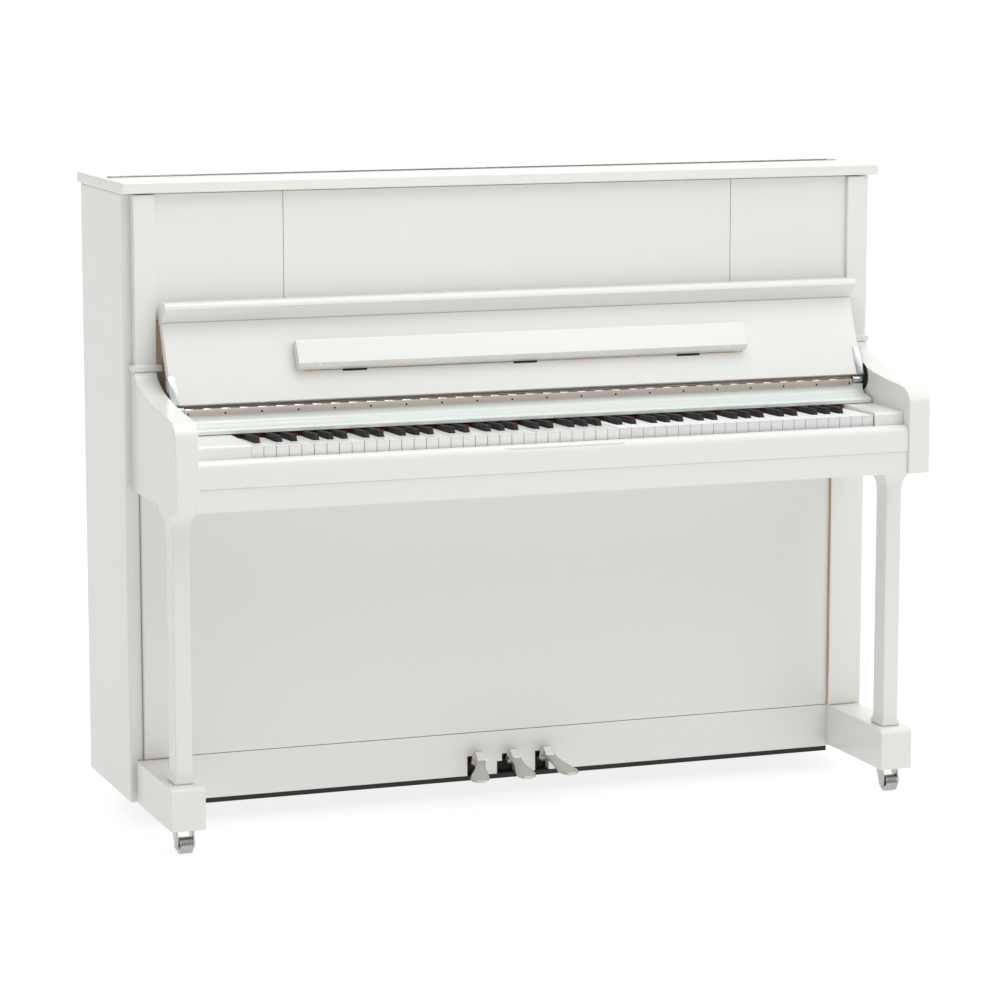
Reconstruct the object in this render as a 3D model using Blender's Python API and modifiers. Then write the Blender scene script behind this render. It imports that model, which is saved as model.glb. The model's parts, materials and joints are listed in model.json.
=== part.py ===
"""Upright piano with an open fallboard: every separate piece of the case, keyboard, pedals and casters.

Metres, +Z up, the keyboard faces -Y.  Depth is given in the case frame, where y = 0 is the front edge
of the lid; place() moves everything back so that the middle of the whole depth is at y = 0.
"""
import math

import bmesh
import bpy
from mathutils import Matrix, Vector

# ---- overall --------------------------------------------------------------------------------------
GAP = 0.0003  # left between neighbours that touch
FRONT_Y, BACK_Y = -0.278, 0.343  # nose of the arms, back of the case
MID_Y = (FRONT_Y + BACK_Y) / 2
CASE_FOOT_Z = 0.047

# ---- lid ------------------------------------------------------------------------------------------
LID_HALF, LID_TOP_Z, LID_THICK = 0.7615, 1.210, 0.0195
LID_SEAM_Y, LID_SEAM = 0.1648, 0.0014
LID_HINGE_HALF, LID_HINGE_R, LID_AXIS_RISE = 0.747, 0.0020, 0.0006
LID_UNDER_Z = LID_TOP_Z - LID_THICK - GAP

# ---- sides, pilasters, arms -------------------------------------------------------------------------
SIDE_OUT, SIDE_IN, SIDE_FRONT_Y = 0.7554, 0.7288, 0.030
PIL_IN, PIL_OUT, PIL_FRONT_Y = 0.6989, 0.7396, 0.006
LEDGE_LOW_Z, LEDGE_HIGH_Z, LEDGE_FRONT_Y, LEDGE_IN, LEDGE_OUT = 0.8633, 0.875, 0.000, 0.6890, 0.7465
LOW_PIL_IN, LOW_PIL_FRONT_Y = 0.6792, 0.020
ARM_IN, ARM_OUT, ARM_FOOT_Z = 0.6997, 0.7428, 0.640
ARM_BACK_Y = SIDE_FRONT_Y - GAP
# the arm's top edge from the ledge forward: a hollow curve that runs into a rounded nose
ARM_TOP = [(0.0024, 0.863), (-0.004, 0.852), (-0.020, 0.842), (-0.049, 0.832), (-0.097, 0.8215),
           (-0.145, 0.814), (-0.192, 0.809), (-0.238, 0.805), (-0.256, 0.801), (-0.268, 0.793),
           (-0.2755, 0.7815), (FRONT_Y, 0.766)]

# ---- key bed and slip -------------------------------------------------------------------------------
BED_FRONT_Y, BED_TOP_Z, BED_BACK_Y = -0.2725, 0.6815, 0.128
SLIP_FRONT_Y, SLIP_BACK_Y, SLIP_TOP_Z = -0.2745, -0.2520, 0.732
SCOOP_HALF, SCOOP_DEPTH = 0.118, 0.0075
BALANCE_Y, BALANCE_HALF, BACK_RAIL_Y, BACK_RAIL_HALF, RAIL_CLEAR = -0.030, 0.008, 0.105, 0.012, 0.001

# ---- keyboard ---------------------------------------------------------------------------------------
WHITE_PITCH, WHITE_COUNT, KEY_SLIT = 0.02371, 52, 0.0010
KEYS_LEFT = -0.5942
KEY_SLOPE = math.radians(1.4)  # the keys lie a little lower at the back
KEY_FRONT_Y, KEY_TOP_Z, KEY_FOOT_Z, KEY_TAIL_Y = -0.247, 0.752, 0.7298, 0.125
BLACK_FRONT_Y, BLACK_TAIL_Y, BLACK_TOP_Z, BLACK_WIDE = -0.197, -0.103, 0.7632, 0.0112
BLACK_SLOPE, BLACK_DRAFT, BLACK_FALL = 0.0055, 0.0008, 0.0030
NOTCH_CLEAR = 0.0013
SHARP_SHIFT = {"c": -0.0022, "d": 0.0022, "f": -0.0034, "g": 0.0, "a": 0.0034}
OCTAVE_FIRST = 23  # white keys below the octave whose keys are separate pieces
NOTES = "abcdefg"
BLOCK_FRONT_Y, BLOCK_TOP_Z, BLOCK_BACK_Y = -0.258, 0.757, -0.084

# ---- fallboard, hinge, music desk (profile points measured along and off the board's face) ------------
FALL_HALF = 0.695
HINGE_Y, HINGE_Z, HINGE_R, HINGE_HALF = -0.078, 0.7990, 0.003, 0.672
LEAN = math.radians(24.5)
ALONG = Vector((math.sin(LEAN), math.cos(LEAN)))
OUTWARD = Vector((-math.cos(LEAN), math.sin(LEAN)))
FALL_FACE, FALL_THICK, FALL_START, FALL_END = 0.0081, 0.019, 0.0084, 0.1672
LIP = [(-0.0438, 0.9815), (-0.0430, 0.9870), (-0.0395, 0.9908), (-0.0345, 0.9920), (-0.0100, 0.9920),
       (-0.0005, 0.9880), (0.0075, 0.9800), (0.0110, 0.9690)]
LIP_COVE = [(-0.0178, 0.9580), (-0.0215, 0.9620), (-0.0275, 0.9665), (-0.0350, 0.9720)]
DESK_HALF = 0.451
DESK = [(0.0650, 0.0087), (0.0652, 0.0240), (0.0715, 0.0308), (0.1165, 0.0290), (0.1185, 0.0270),
        (0.1190, 0.0087)]
BRACKET_LONG, BRACKET_PLATE, BRACKET_FLANGE, BOSS_R = 0.0650, 0.0028, 0.0135, 0.0070
NAME_TOP_Z, NAME_FOOT_Z, NAME_BACK_Y, LEAF_FOOT_Z, LEAF_THICK = 0.7915, 0.7584, -0.0630, 0.7885, 0.0012
NAME_COVE = [(-0.0815, 0.7915), (-0.0815, 0.7870), (-0.0830, 0.7800), (-0.0870, 0.7752), (-0.0940, 0.7722),
             (-0.1050, 0.7700), (-0.1150, 0.7680), (-0.1192, 0.7655), (-0.1200, 0.7630), (-0.1200, 0.7584)]

# ---- panels -----------------------------------------------------------------------------------------
UPPER_FRONT_Y, UPPER_FOOT_Z, PANEL_THICK = 0.014, 0.957, 0.020
SKIRT_HALF, SKIRT_FOOT_Z = 0.6545, 0.7950  # the panel runs on down behind the open fallboard
GROOVE_X, GROOVE_WIDE, GROOVE_DEEP = 0.452, 0.0020, 0.003
LOWER_FRONT_Y, LOWER_FOOT_Z, TOE_RAIL_FOOT_Z = 0.028, 0.1310, 0.0455
BOTTOM_FOOT_Z, BOTTOM_BACK_Y = 0.0362, 0.236

# ---- legs, toe blocks, casters -----------------------------------------------------------------------
LEG_X0, LEG_X1, LEG_Y0, LEG_Y1 = 0.6958, 0.7275, -0.193, -0.1475
LEG_FLARE = [(0.1303, 0.0035), (0.1370, 0.0030), (0.1430, 0.0), (0.5900, 0.0), (0.6050, 0.0012),
             (0.6170, 0.0045), (0.6260, 0.0095), (0.6290, 0.0100), (0.6397, 0.0100)]
TOE_IN, TOE_OUT, TOE_FRONT_Y, TOE_FOOT_Z, TOE_TOP_Z = 0.6792, 0.7449, -0.2218, 0.049, 0.130
CASTER_FRONT, CASTER_REAR = (0.712, -0.178), (0.600, 0.290)
WHEEL_R, WHEEL_HALF, WHEEL_TRAIL, AXLE_R, AXLE_CLEAR = 0.0160, 0.0120, 0.012, 0.003, 0.0004
FORK_HALF, CHEEK, FORK_PLATE, FORK_BACK = 0.0172, 0.0035, 0.0040, 0.0165

# ---- pedals (plan and height of the lever from its pivot to its toe) -----------------------------------
PEDALS = {"left": (-0.0715, -0.0240), "middle": (0.0, 0.0), "right": (0.0687, 0.0195)}
PEDAL_AXIS_Y, PEDAL_AXIS_Z = 0.120, 0.068
PEDAL_LINE = [(0.130, 0.068, 0.008, 0.006, 0.0), (0.027, 0.068, 0.008, 0.006, 0.0),
              (0.018, 0.078, 0.0095, 0.0085, 0.0), (0.011, 0.0870, 0.0108, 0.0100, 0.0),
              (0.008, 0.0885, 0.0112, 0.0103, 0.0), (-0.003, 0.0882, 0.0114, 0.0103, 0.0),
              (-0.008, 0.0850, 0.0110, 0.0088, 0.03), (-0.020, 0.0785, 0.0092, 0.0058, 0.18),
              (-0.036, 0.0722, 0.0112, 0.0048, 0.45), (-0.052, 0.0668, 0.0166, 0.0044, 0.72),
              (-0.066, 0.0626, 0.0198, 0.0040, 0.92), (-0.075, 0.0604, 0.0172, 0.0036, 1.0),
              (-0.081, 0.0594, 0.0100, 0.0028, 1.05)]
PEDAL_SECTION = [(1.0, -0.45), (1.0, 0.35), (0.80, 0.88), (0.0, 1.0), (-0.80, 0.88), (-1.0, 0.35),
                 (-1.0, -0.45), (-0.62, -1.0), (0.62, -1.0)]
SLOT_HALF, SLOT_TOP_Z = 0.0145, 0.0845
FOOT_NOTCH = (-0.0250, -0.0140, 0.070)  # the middle slot is wider to the left at its foot

# ---- back -------------------------------------------------------------------------------------------
FRAME_FRONT_Y, FRAME_FOOT_Z, FRAME_BEAM, POST_WIDE = 0.2445, 0.0495, 0.105, 0.075
POSTS = (-0.62, -0.31, 0.0, 0.31, 0.62)
BOARD_Y, BOARD_THICK, BOARD_FOOT_Z, BOARD_HEAD_Z = 0.2360, 0.008, 0.150, 1.120
PLATE_Y, PLATE_THICK, PLATE_FOOT_Z, PLATE_HEAD_Z, PLATE_HALF = 0.2100, 0.0085, 0.120, 1.165, 0.700

SHADES = {
    "lacquer": ((0.80, 0.80, 0.77), 0.12, 0.0), "ivory": ((0.86, 0.86, 0.84), 0.18, 0.0),
    "ebony": ((0.012, 0.012, 0.013), 0.35, 0.0), "nickel": ((0.62, 0.62, 0.60), 0.18, 1.0),
    "hinge_metal": ((0.52, 0.47, 0.42), 0.32, 1.0), "black_paint": ((0.010, 0.010, 0.010), 0.55, 0.0),
    "spruce": ((0.62, 0.45, 0.27), 0.55, 0.0), "gilt_iron": ((0.50, 0.38, 0.18), 0.42, 0.6),
    "beech": ((0.48, 0.33, 0.19), 0.60, 0.0),
}


def clear_scene():
    """Empty the scene and make the two collections."""
    for thing in list(bpy.data.objects):
        bpy.data.objects.remove(thing, do_unlink=True)
    for name in ("upright_piano", "cutters"):
        group = bpy.data.collections.new(name)
        bpy.context.scene.collection.children.link(group)


def shade(name):
    """The named material, made on first use."""
    mat = bpy.data.materials.get(name)
    if mat:
        return mat
    colour, rough, metal = SHADES[name]
    mat = bpy.data.materials.new(name)
    mat.use_nodes = True
    bsdf = mat.node_tree.nodes["Principled BSDF"]
    bsdf.inputs["Base Color"].default_value = (*colour, 1.0)
    bsdf.inputs["Roughness"].default_value = rough
    bsdf.inputs["Metallic"].default_value = metal
    return mat


def place(name, bm, material, origin=(0.0, MID_Y, 0.0), bevel=0.0, segments=2, collection="upright_piano"):
    """Turn a bmesh drawn in the case frame into an object whose origin is the given case-frame point."""
    at = Vector(origin)
    bmesh.ops.translate(bm, verts=bm.verts, vec=-at)
    bmesh.ops.recalc_face_normals(bm, faces=bm.faces)
    mesh = bpy.data.meshes.new(name)
    bm.to_mesh(mesh)
    bm.free()
    mesh.materials.append(shade(material))
    thing = bpy.data.objects.new(name, mesh)
    thing.location = at - Vector((0.0, MID_Y, 0.0))
    bpy.data.collections[collection].objects.link(thing)
    if bevel:
        mod = thing.modifiers.new("edges", "BEVEL")
        mod.width = bevel
        mod.segments = segments
        mod.limit_method = "ANGLE"
        mod.angle_limit = math.radians(40)
    mesh.shade_smooth()
    mesh.set_sharp_from_angle(angle=math.radians(32))
    return thing


def block(x0, x1, y0, y1, z0, z1):
    """A box as a bmesh."""
    bm = bmesh.new()
    bmesh.ops.create_cube(bm, size=1.0)
    bmesh.ops.scale(bm, verts=bm.verts, vec=(x1 - x0, y1 - y0, z1 - z0))
    bmesh.ops.translate(bm, verts=bm.verts, vec=((x0 + x1) / 2, (y0 + y1) / 2, (z0 + z1) / 2))
    return bm


def prism(points, start, step):
    """Extrude a flat outline: start turns an outline point into a 3-D point, step is the extrusion."""
    bm = bmesh.new()
    ring = [bm.verts.new(start(p)) for p in points]
    face = bmesh.ops.contextual_create(bm, geom=ring_edges(bm, ring))["faces"]
    grown = bmesh.ops.extrude_face_region(bm, geom=face)["geom"]
    moved = [v for v in grown if isinstance(v, bmesh.types.BMVert)]
    bmesh.ops.translate(bm, verts=moved, vec=step)
    return bm


def profile(points, x0, x1):
    """A (y, z) outline run along x."""
    return prism(points, lambda p: (x0, p[0], p[1]), (x1 - x0, 0.0, 0.0))


def plan(points, z0, z1):
    """An (x, y) outline raised along z."""
    return prism(points, lambda p: (p[0], p[1], z0), (0.0, 0.0, z1 - z0))


def rod(radius, x0, x1, y, z, sides=24):
    """A cylinder along x."""
    bm = bmesh.new()
    bmesh.ops.create_cone(bm, cap_ends=True, segments=sides, radius1=radius, radius2=radius, depth=x1 - x0)
    bmesh.ops.rotate(bm, verts=bm.verts, matrix=turn_to_x())
    bmesh.ops.translate(bm, verts=bm.verts, vec=((x0 + x1) / 2, y, z))
    return bm


def turn_to_x():
    """The quarter turn that lays a z cylinder along x."""
    return Vector((0.0, 0.0, 1.0)).rotation_difference(Vector((1.0, 0.0, 0.0))).to_matrix()


def mirrored(bm):
    """Flip a bmesh to the other side of x = 0."""
    bmesh.ops.scale(bm, verts=bm.verts, vec=(-1.0, 1.0, 1.0))
    bmesh.ops.reverse_faces(bm, faces=bm.faces)
    return bm


def combined(base, others, operation):
    """Union or cut the base with the others by exact Booleans and bake the result."""
    cutters = []
    for k, bm in enumerate(others):
        cutter = place(f"{base.name}_cutter_{k}", bm, "black_paint", collection="cutters")
        cutter.hide_render = True
        cutter.display_type = "WIRE"
        mod = base.modifiers.new(f"shape_{k}", "BOOLEAN")
        mod.operation = operation
        mod.solver = "EXACT"
        mod.object = cutter
        cutters.append(cutter)
    bpy.context.view_layer.update()
    baked = bpy.data.meshes.new_from_object(base.evaluated_get(bpy.context.evaluated_depsgraph_get()))
    base.modifiers.clear()
    base.data = baked
    for cutter in cutters:
        bpy.data.objects.remove(cutter, do_unlink=True)
    return base


def both(name, make, material, bevel=0.0, segments=2):
    """The same piece on the right (+x) and, mirrored, on the left."""
    right = place(f"{name}_right", make(), material, bevel=bevel, segments=segments)
    left = place(f"{name}_left", mirrored(make()), material, bevel=bevel, segments=segments)
    return left, right


def build_case():
    """Sides, pilasters with their ledge, lower pilasters, arms."""
    both("side_panel", lambda: block(SIDE_IN, SIDE_OUT, SIDE_FRONT_Y, BACK_Y, CASE_FOOT_Z, LID_UNDER_Z),
         "lacquer", bevel=0.004)
    both("pilaster", pilaster_shape, "lacquer", bevel=0.0022)
    both("lower_pilaster", lambda: block(LOW_PIL_IN, SIDE_IN - GAP, LOW_PIL_FRONT_Y, 0.045,
                                         CASE_FOOT_Z, ARM_FOOT_Z - GAP), "lacquer", bevel=0.002)
    outline = [(ARM_BACK_Y, ARM_FOOT_Z), (ARM_BACK_Y, ARM_TOP[0][1]), *ARM_TOP, (FRONT_Y, ARM_FOOT_Z)]
    both("arm", lambda: profile(outline, ARM_IN, ARM_OUT), "lacquer", bevel=0.003)


def pilaster_shape():
    """A flat post that stands on a ledge moulding a little wider and deeper than itself."""
    ledge, post = (LEDGE_IN, LEDGE_OUT, LEDGE_FRONT_Y), (PIL_IN, PIL_OUT, PIL_FRONT_Y)
    levels = [(LEDGE_LOW_Z, ledge), (LEDGE_HIGH_Z, ledge), (LEDGE_HIGH_Z + 0.0008, post), (LID_UNDER_Z - 0.002, post)]
    bm = bmesh.new()
    rings = []
    for z, (x0, x1, y0) in levels:
        corners = [(x0, y0), (x1, y0), (x1, ARM_BACK_Y), (x0, ARM_BACK_Y)]
        rings.append([bm.verts.new((*c, z)) for c in corners])
    close_rings(bm, rings)
    return bm


def build_lid():
    """Rear lid, front lid that folds back over it, and the long hinge between them."""
    under, top, cut = LID_TOP_Z - LID_THICK, LID_TOP_Z, 0.0025
    rear_y, front_y = LID_SEAM_Y + LID_SEAM / 2, LID_SEAM_Y - LID_SEAM / 2
    rear = [(rear_y, under), (BACK_Y, under), (BACK_Y, top), (rear_y + cut, top), (rear_y, top - cut)]
    front = [(0.0, under), (front_y, under), (front_y, top - cut), (front_y - cut, top), (0.0, top)]
    axis = (0.0, LID_SEAM_Y, top + LID_AXIS_RISE)
    place("lid_rear", profile(rear, -LID_HALF, LID_HALF), "lacquer", bevel=0.002)
    place("lid_front", profile(front, -LID_HALF, LID_HALF), "lacquer", origin=axis, bevel=0.002)
    place("lid_hinge", rod(LID_HINGE_R, -LID_HINGE_HALF, LID_HINGE_HALF, axis[1], axis[2], 12), "hinge_metal")


def build_panels():
    """Upper panel with its two grooves, lower panel, toe rail with the pedal slots, bottom board."""
    half, head = PIL_IN - GAP, LID_UNDER_Z - 0.002
    outline = [(-half, head), (half, head), (half, UPPER_FOOT_Z), (SKIRT_HALF, UPPER_FOOT_Z),
               (SKIRT_HALF, SKIRT_FOOT_Z), (-SKIRT_HALF, SKIRT_FOOT_Z), (-SKIRT_HALF, UPPER_FOOT_Z),
               (-half, UPPER_FOOT_Z)]
    upper = place("upper_panel", prism(outline, lambda p: (p[0], UPPER_FRONT_Y, p[1]), (0.0, PANEL_THICK, 0.0)),
                  "lacquer")
    grooves = [block(x - GROOVE_WIDE / 2, x + GROOVE_WIDE / 2, UPPER_FRONT_Y - 0.01,
                     UPPER_FRONT_Y + GROOVE_DEEP, SKIRT_FOOT_Z - 0.01, LID_TOP_Z)
               for x in (-GROOVE_X, GROOVE_X)]
    combined(upper, grooves, "DIFFERENCE")
    wide = LOW_PIL_IN - GAP
    back = LOWER_FRONT_Y + PANEL_THICK
    place("lower_panel", block(-wide, wide, LOWER_FRONT_Y, back, LOWER_FOOT_Z, ARM_FOOT_Z - 0.001),
          "lacquer", bevel=0.0012)
    rail = place("toe_rail", block(-wide, wide, LOWER_FRONT_Y, back, TOE_RAIL_FOOT_Z, LOWER_FOOT_Z - 0.001),
                 "lacquer")
    slots = [(x - SLOT_HALF, x + SLOT_HALF, SLOT_TOP_Z) for x, _ in PEDALS.values()]
    slots = [block(a, b, LOWER_FRONT_Y - 0.01, back + 0.01, 0.0, top) for a, b, top in (*slots, FOOT_NOTCH)]
    combined(rail, slots, "DIFFERENCE")
    place("bottom_board", block(-wide, wide, LOWER_FRONT_Y, BOTTOM_BACK_Y, BOTTOM_FOOT_Z, TOE_RAIL_FOOT_Z - GAP),
          "black_paint")


def build_key_bed():
    """Key bed with its balance and back rails, key slip with the finger scoop, key blocks."""
    half = ARM_IN - GAP
    rails = half - 0.02
    outline = [(BED_FRONT_Y, ARM_FOOT_Z), (BED_BACK_Y, ARM_FOOT_Z), (BED_BACK_Y, BED_TOP_Z), (BED_FRONT_Y, BED_TOP_Z)]
    bed = place("key_bed", profile(outline, -half, half), "lacquer")
    combined(bed, [block(-rails, rails, y - w, y + w, BED_TOP_Z - 0.005, under_keys(y) - RAIL_CLEAR)
                   for y, w in ((BALANCE_Y, BALANCE_HALF), (BACK_RAIL_Y, BACK_RAIL_HALF))], "UNION")
    nose = [(SLIP_BACK_Y, BED_TOP_Z + GAP), (SLIP_BACK_Y, SLIP_TOP_Z - 0.001), (SLIP_BACK_Y - 0.001, SLIP_TOP_Z),
            (-0.2640, SLIP_TOP_Z - 0.0008), (-0.2695, 0.7280), (-0.2728, 0.7225), (-0.2740, 0.7150),
            (SLIP_FRONT_Y, 0.7050), (SLIP_FRONT_Y, 0.6835), (-0.2728, BED_TOP_Z + GAP)]
    slip = place("key_slip", profile(nose, -half, half), "lacquer")
    combined(slip, [scoop_cutter()], "DIFFERENCE")
    keys_right = KEYS_LEFT + WHITE_PITCH * WHITE_COUNT
    side = [(BLOCK_FRONT_Y + 0.0063, BED_TOP_Z + GAP), (BLOCK_FRONT_Y + 0.0063, 0.7500),
            (BLOCK_FRONT_Y + 0.0080, 0.7545), (BLOCK_FRONT_Y + 0.0120, BLOCK_TOP_Z), (BLOCK_BACK_Y, BLOCK_TOP_Z), (BLOCK_BACK_Y, BED_TOP_Z + GAP)]
    place("key_block_left", profile(side, -half, KEYS_LEFT - 0.001), "lacquer", bevel=0.0012)
    place("key_block_right", profile(side, keys_right + 0.001, half), "lacquer", bevel=0.0012)


def scoop_cutter():
    """The long shallow finger scoop taken out of the slip's top nose: flat floor, rounded ends."""
    low, high = SLIP_TOP_Z - SCOOP_DEPTH, SLIP_TOP_Z + 0.010
    ends = [(0.0, 0.0), (0.010, 0.0006), (0.020, 0.0030), (0.028, 0.0075), (0.032, 0.0175)]
    right = [(SCOOP_HALF - 0.018 + dx, low + dz) for dx, dz in ends]
    left = [(-x, z) for x, z in reversed(right)]
    points = [*left, *right]
    return prism(points, lambda p: (p[0], SLIP_FRONT_Y - 0.01, p[1]), (0.0, 0.0155, 0.0))


def under_keys(y):
    """Height of the keys' sloping underside at a depth."""
    return KEY_FOOT_Z - (y - KEY_FRONT_Y) * math.tan(KEY_SLOPE)


def sloped(bm):
    """Tip a key drawn level about its front top edge, so that its back lies lower."""
    pivot = Vector((0.0, KEY_FRONT_Y, KEY_TOP_Z))
    bmesh.ops.rotate(bm, verts=bm.verts, cent=pivot, matrix=Matrix.Rotation(-KEY_SLOPE, 3, "X"))
    return bm


def white_outline(index, joined):
    """The (x, y) outline of one white key, notched where a black key passes beside it."""
    x0 = KEYS_LEFT + index * WHITE_PITCH + KEY_SLIT / 2
    x1 = x0 + WHITE_PITCH - KEY_SLIT
    notch_y = BLACK_FRONT_Y - NOTCH_CLEAR
    end_y = BLACK_TAIL_Y + NOTCH_CLEAR if joined else KEY_TAIL_Y
    left, right = sharp_after(index - 1), sharp_after(index)
    room = BLACK_WIDE / 2 + NOTCH_CLEAR
    back0 = x0 if left is None else max(x0, left + room)
    back1 = x1 if right is None else min(x1, right - room)
    points = [(x0, KEY_FRONT_Y), (x1, KEY_FRONT_Y)]
    if back1 < x1:
        points += [(x1, notch_y), (back1, notch_y)]
    points += [(back1, end_y), (back0, end_y)]
    if back0 > x0:
        points += [(back0, notch_y), (x0, notch_y)]
    return points


def sharp_after(index):
    """Centre of the black key between white key index and the next, or None."""
    note = NOTES[index % 7]
    if note not in SHARP_SHIFT or not 0 <= index < WHITE_COUNT - 1:
        return None
    return KEYS_LEFT + (index + 1) * WHITE_PITCH + SHARP_SHIFT[note]


def comb_outline(first, count):
    """One outline round a run of white keys that share a rear bar."""
    front = []
    for index in range(first, first + count):
        points = white_outline(index, True)
        tail = [p for p in points if p[1] == BLACK_TAIL_Y + NOTCH_CLEAR]
        ahead = [p for p in points if p not in tail]
        left = sorted((p for p in ahead if p[0] < sum(t[0] for t in tail) / 2), key=lambda p: (-p[1], -p[0]))
        right = sorted((p for p in ahead if p not in left), key=lambda p: (p[1], -p[0]))
        front += [min(tail), *left, *right, max(tail)]
    x0, x1 = front[0][0], front[-1][0]
    return [*front, (x1, KEY_TAIL_Y), (x0, KEY_TAIL_Y)]


def black_cap(x):
    """The raised part of a black key: sloped front, slightly drawn-in sides."""
    bm = bmesh.new()
    low, top = KEY_TOP_Z + 0.0005, BLACK_TOP_Z
    half, high = BLACK_WIDE / 2, BLACK_WIDE / 2 - BLACK_DRAFT
    foot = [(x - half, BLACK_FRONT_Y), (x + half, BLACK_FRONT_Y), (x + half, BLACK_TAIL_Y), (x - half, BLACK_TAIL_Y)]
    front, fall = BLACK_FRONT_Y + BLACK_SLOPE, top - BLACK_FALL
    head = [(x - high, front, top), (x + high, front, top), (x + high, BLACK_TAIL_Y, fall),
            (x - high, BLACK_TAIL_Y, fall)]
    rings = [[bm.verts.new((*p, low)) for p in foot], [bm.verts.new(p) for p in head]]
    close_rings(bm, rings)
    return bm


def close_rings(bm, rings):
    """Skin a run of vertex rings and close both ends."""
    for a, b in zip(rings, rings[1:]):
        bmesh.ops.bridge_loops(bm, edges=ring_edges(bm, a) + ring_edges(bm, b))
    for ring in (rings[0], rings[-1]):
        bmesh.ops.contextual_create(bm, geom=ring_edges(bm, ring))


def ring_edges(bm, ring):
    """The edges that run round a ring of vertices, made where they are missing."""
    pairs = zip(ring, ring[1:] + ring[:1])
    return [bm.edges.get(pair) or bm.edges.new(pair) for pair in pairs]


def build_keys():
    """One octave of separate keys in the middle; joined combs of keys to either side."""
    axis = (BALANCE_Y, under_keys(BALANCE_Y) - RAIL_CLEAR / 2)
    last = OCTAVE_FIRST + 7
    for index in range(OCTAVE_FIRST, last):
        note = NOTES[index % 7]
        x = KEYS_LEFT + (index + 0.5) * WHITE_PITCH
        place(f"key_{note}4", sloped(plan(white_outline(index, False), KEY_FOOT_Z, KEY_TOP_Z)), "ivory",
              origin=(x, *axis))
        centre = sharp_after(index)
        if centre is not None:
            build_black_key(f"key_{note}_sharp4", centre, axis)
    for side, first, count in (("bass", 0, OCTAVE_FIRST), ("treble", last, WHITE_COUNT - last)):
        x = KEYS_LEFT + (first + count / 2) * WHITE_PITCH
        place(f"white_keys_{side}", sloped(plan(comb_outline(first, count), KEY_FOOT_Z, KEY_TOP_Z)), "ivory",
              origin=(x, *axis))
        centres = [sharp_after(k) for k in range(first, first + count - 1)]
        build_black_comb(side, [c for c in centres if c is not None], (x, *axis))


def build_black_key(name, x, axis):
    """A separate black key: cap over a narrow stick that runs back past the balance rail."""
    half = BLACK_WIDE / 2
    key = place(name, sloped(black_cap(x)), "ebony", origin=(x, *axis))
    stick = block(x - half + 0.0004, x + half - 0.0004, BLACK_FRONT_Y + 0.0008, KEY_TAIL_Y,
                  KEY_FOOT_Z, KEY_TOP_Z + 0.0012)
    combined(key, [sloped(stick)], "UNION")


def build_black_comb(side, centres, origin):
    """The black keys of one side: caps joined by a bar that is hidden under the name board."""
    comb = place(f"black_keys_{side}", sloped(black_cap(centres[0])), "ebony", origin=origin)
    bar = block(min(centres) - 0.004, max(centres) + 0.004, BLACK_TAIL_Y - 0.004, BLACK_TAIL_Y + 0.012,
                KEY_TOP_Z + 0.0009, BLACK_TOP_Z - BLACK_FALL - 0.0008)
    combined(comb, [sloped(bar), *[sloped(black_cap(x)) for x in centres[1:]]], "UNION")


def off_hinge(s, n):
    """The case-frame (y, z) of a point s along the fallboard and n off it, measured from its hinge pin."""
    spot = Vector((HINGE_Y, HINGE_Z)) + ALONG * s + OUTWARD * n
    return spot.x, spot.y


def build_fallboard():
    """Name board, hinge, fallboard with its lip, end brackets, music desk."""
    pin = (0.0, HINGE_Y, HINGE_Z)
    cove = [*NAME_COVE, (NAME_BACK_Y, NAME_FOOT_Z), (NAME_BACK_Y, NAME_TOP_Z)]
    place("name_board", profile(cove, -FALL_HALF, FALL_HALF), "lacquer")
    leaf_y = NAME_COVE[0][0] - GAP
    ring = [(HINGE_Y + HINGE_R * math.sin(a), HINGE_Z - HINGE_R * math.cos(a))
            for a in (math.radians(30 * k) for k in range(0, 8))]
    leaf = [(leaf_y - LEAF_THICK, LEAF_FOOT_Z), (leaf_y, LEAF_FOOT_Z), (leaf_y, NAME_TOP_Z + 0.0006), *ring,
            (leaf_y - LEAF_THICK, HINGE_Z)]
    place("fallboard_hinge", profile(leaf, -HINGE_HALF, HINGE_HALF), "hinge_metal")
    face, back = FALL_FACE, FALL_FACE - FALL_THICK
    board = [off_hinge(FALL_START, face), off_hinge(FALL_END - GAP, face), off_hinge(FALL_END - GAP, back),
             off_hinge(FALL_START, back)]
    place("fallboard", profile(board, -FALL_HALF, FALL_HALF), "lacquer", origin=pin, bevel=0.0012)
    lip = [off_hinge(FALL_END, back), off_hinge(FALL_END, face), *LIP_COVE, *LIP]
    place("fallboard_lip", profile(lip, -FALL_HALF, FALL_HALF), "lacquer", origin=pin)
    for side, sign in (("left", -1.0), ("right", 1.0)):
        build_bracket(side, sign, pin)
    low = off_hinge(DESK[0][0] - 0.0006, DESK[0][1])
    place("music_desk", profile([off_hinge(*p) for p in DESK], -DESK_HALF, DESK_HALF), "lacquer",
          origin=(0.0, *low), bevel=0.0010)


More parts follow.
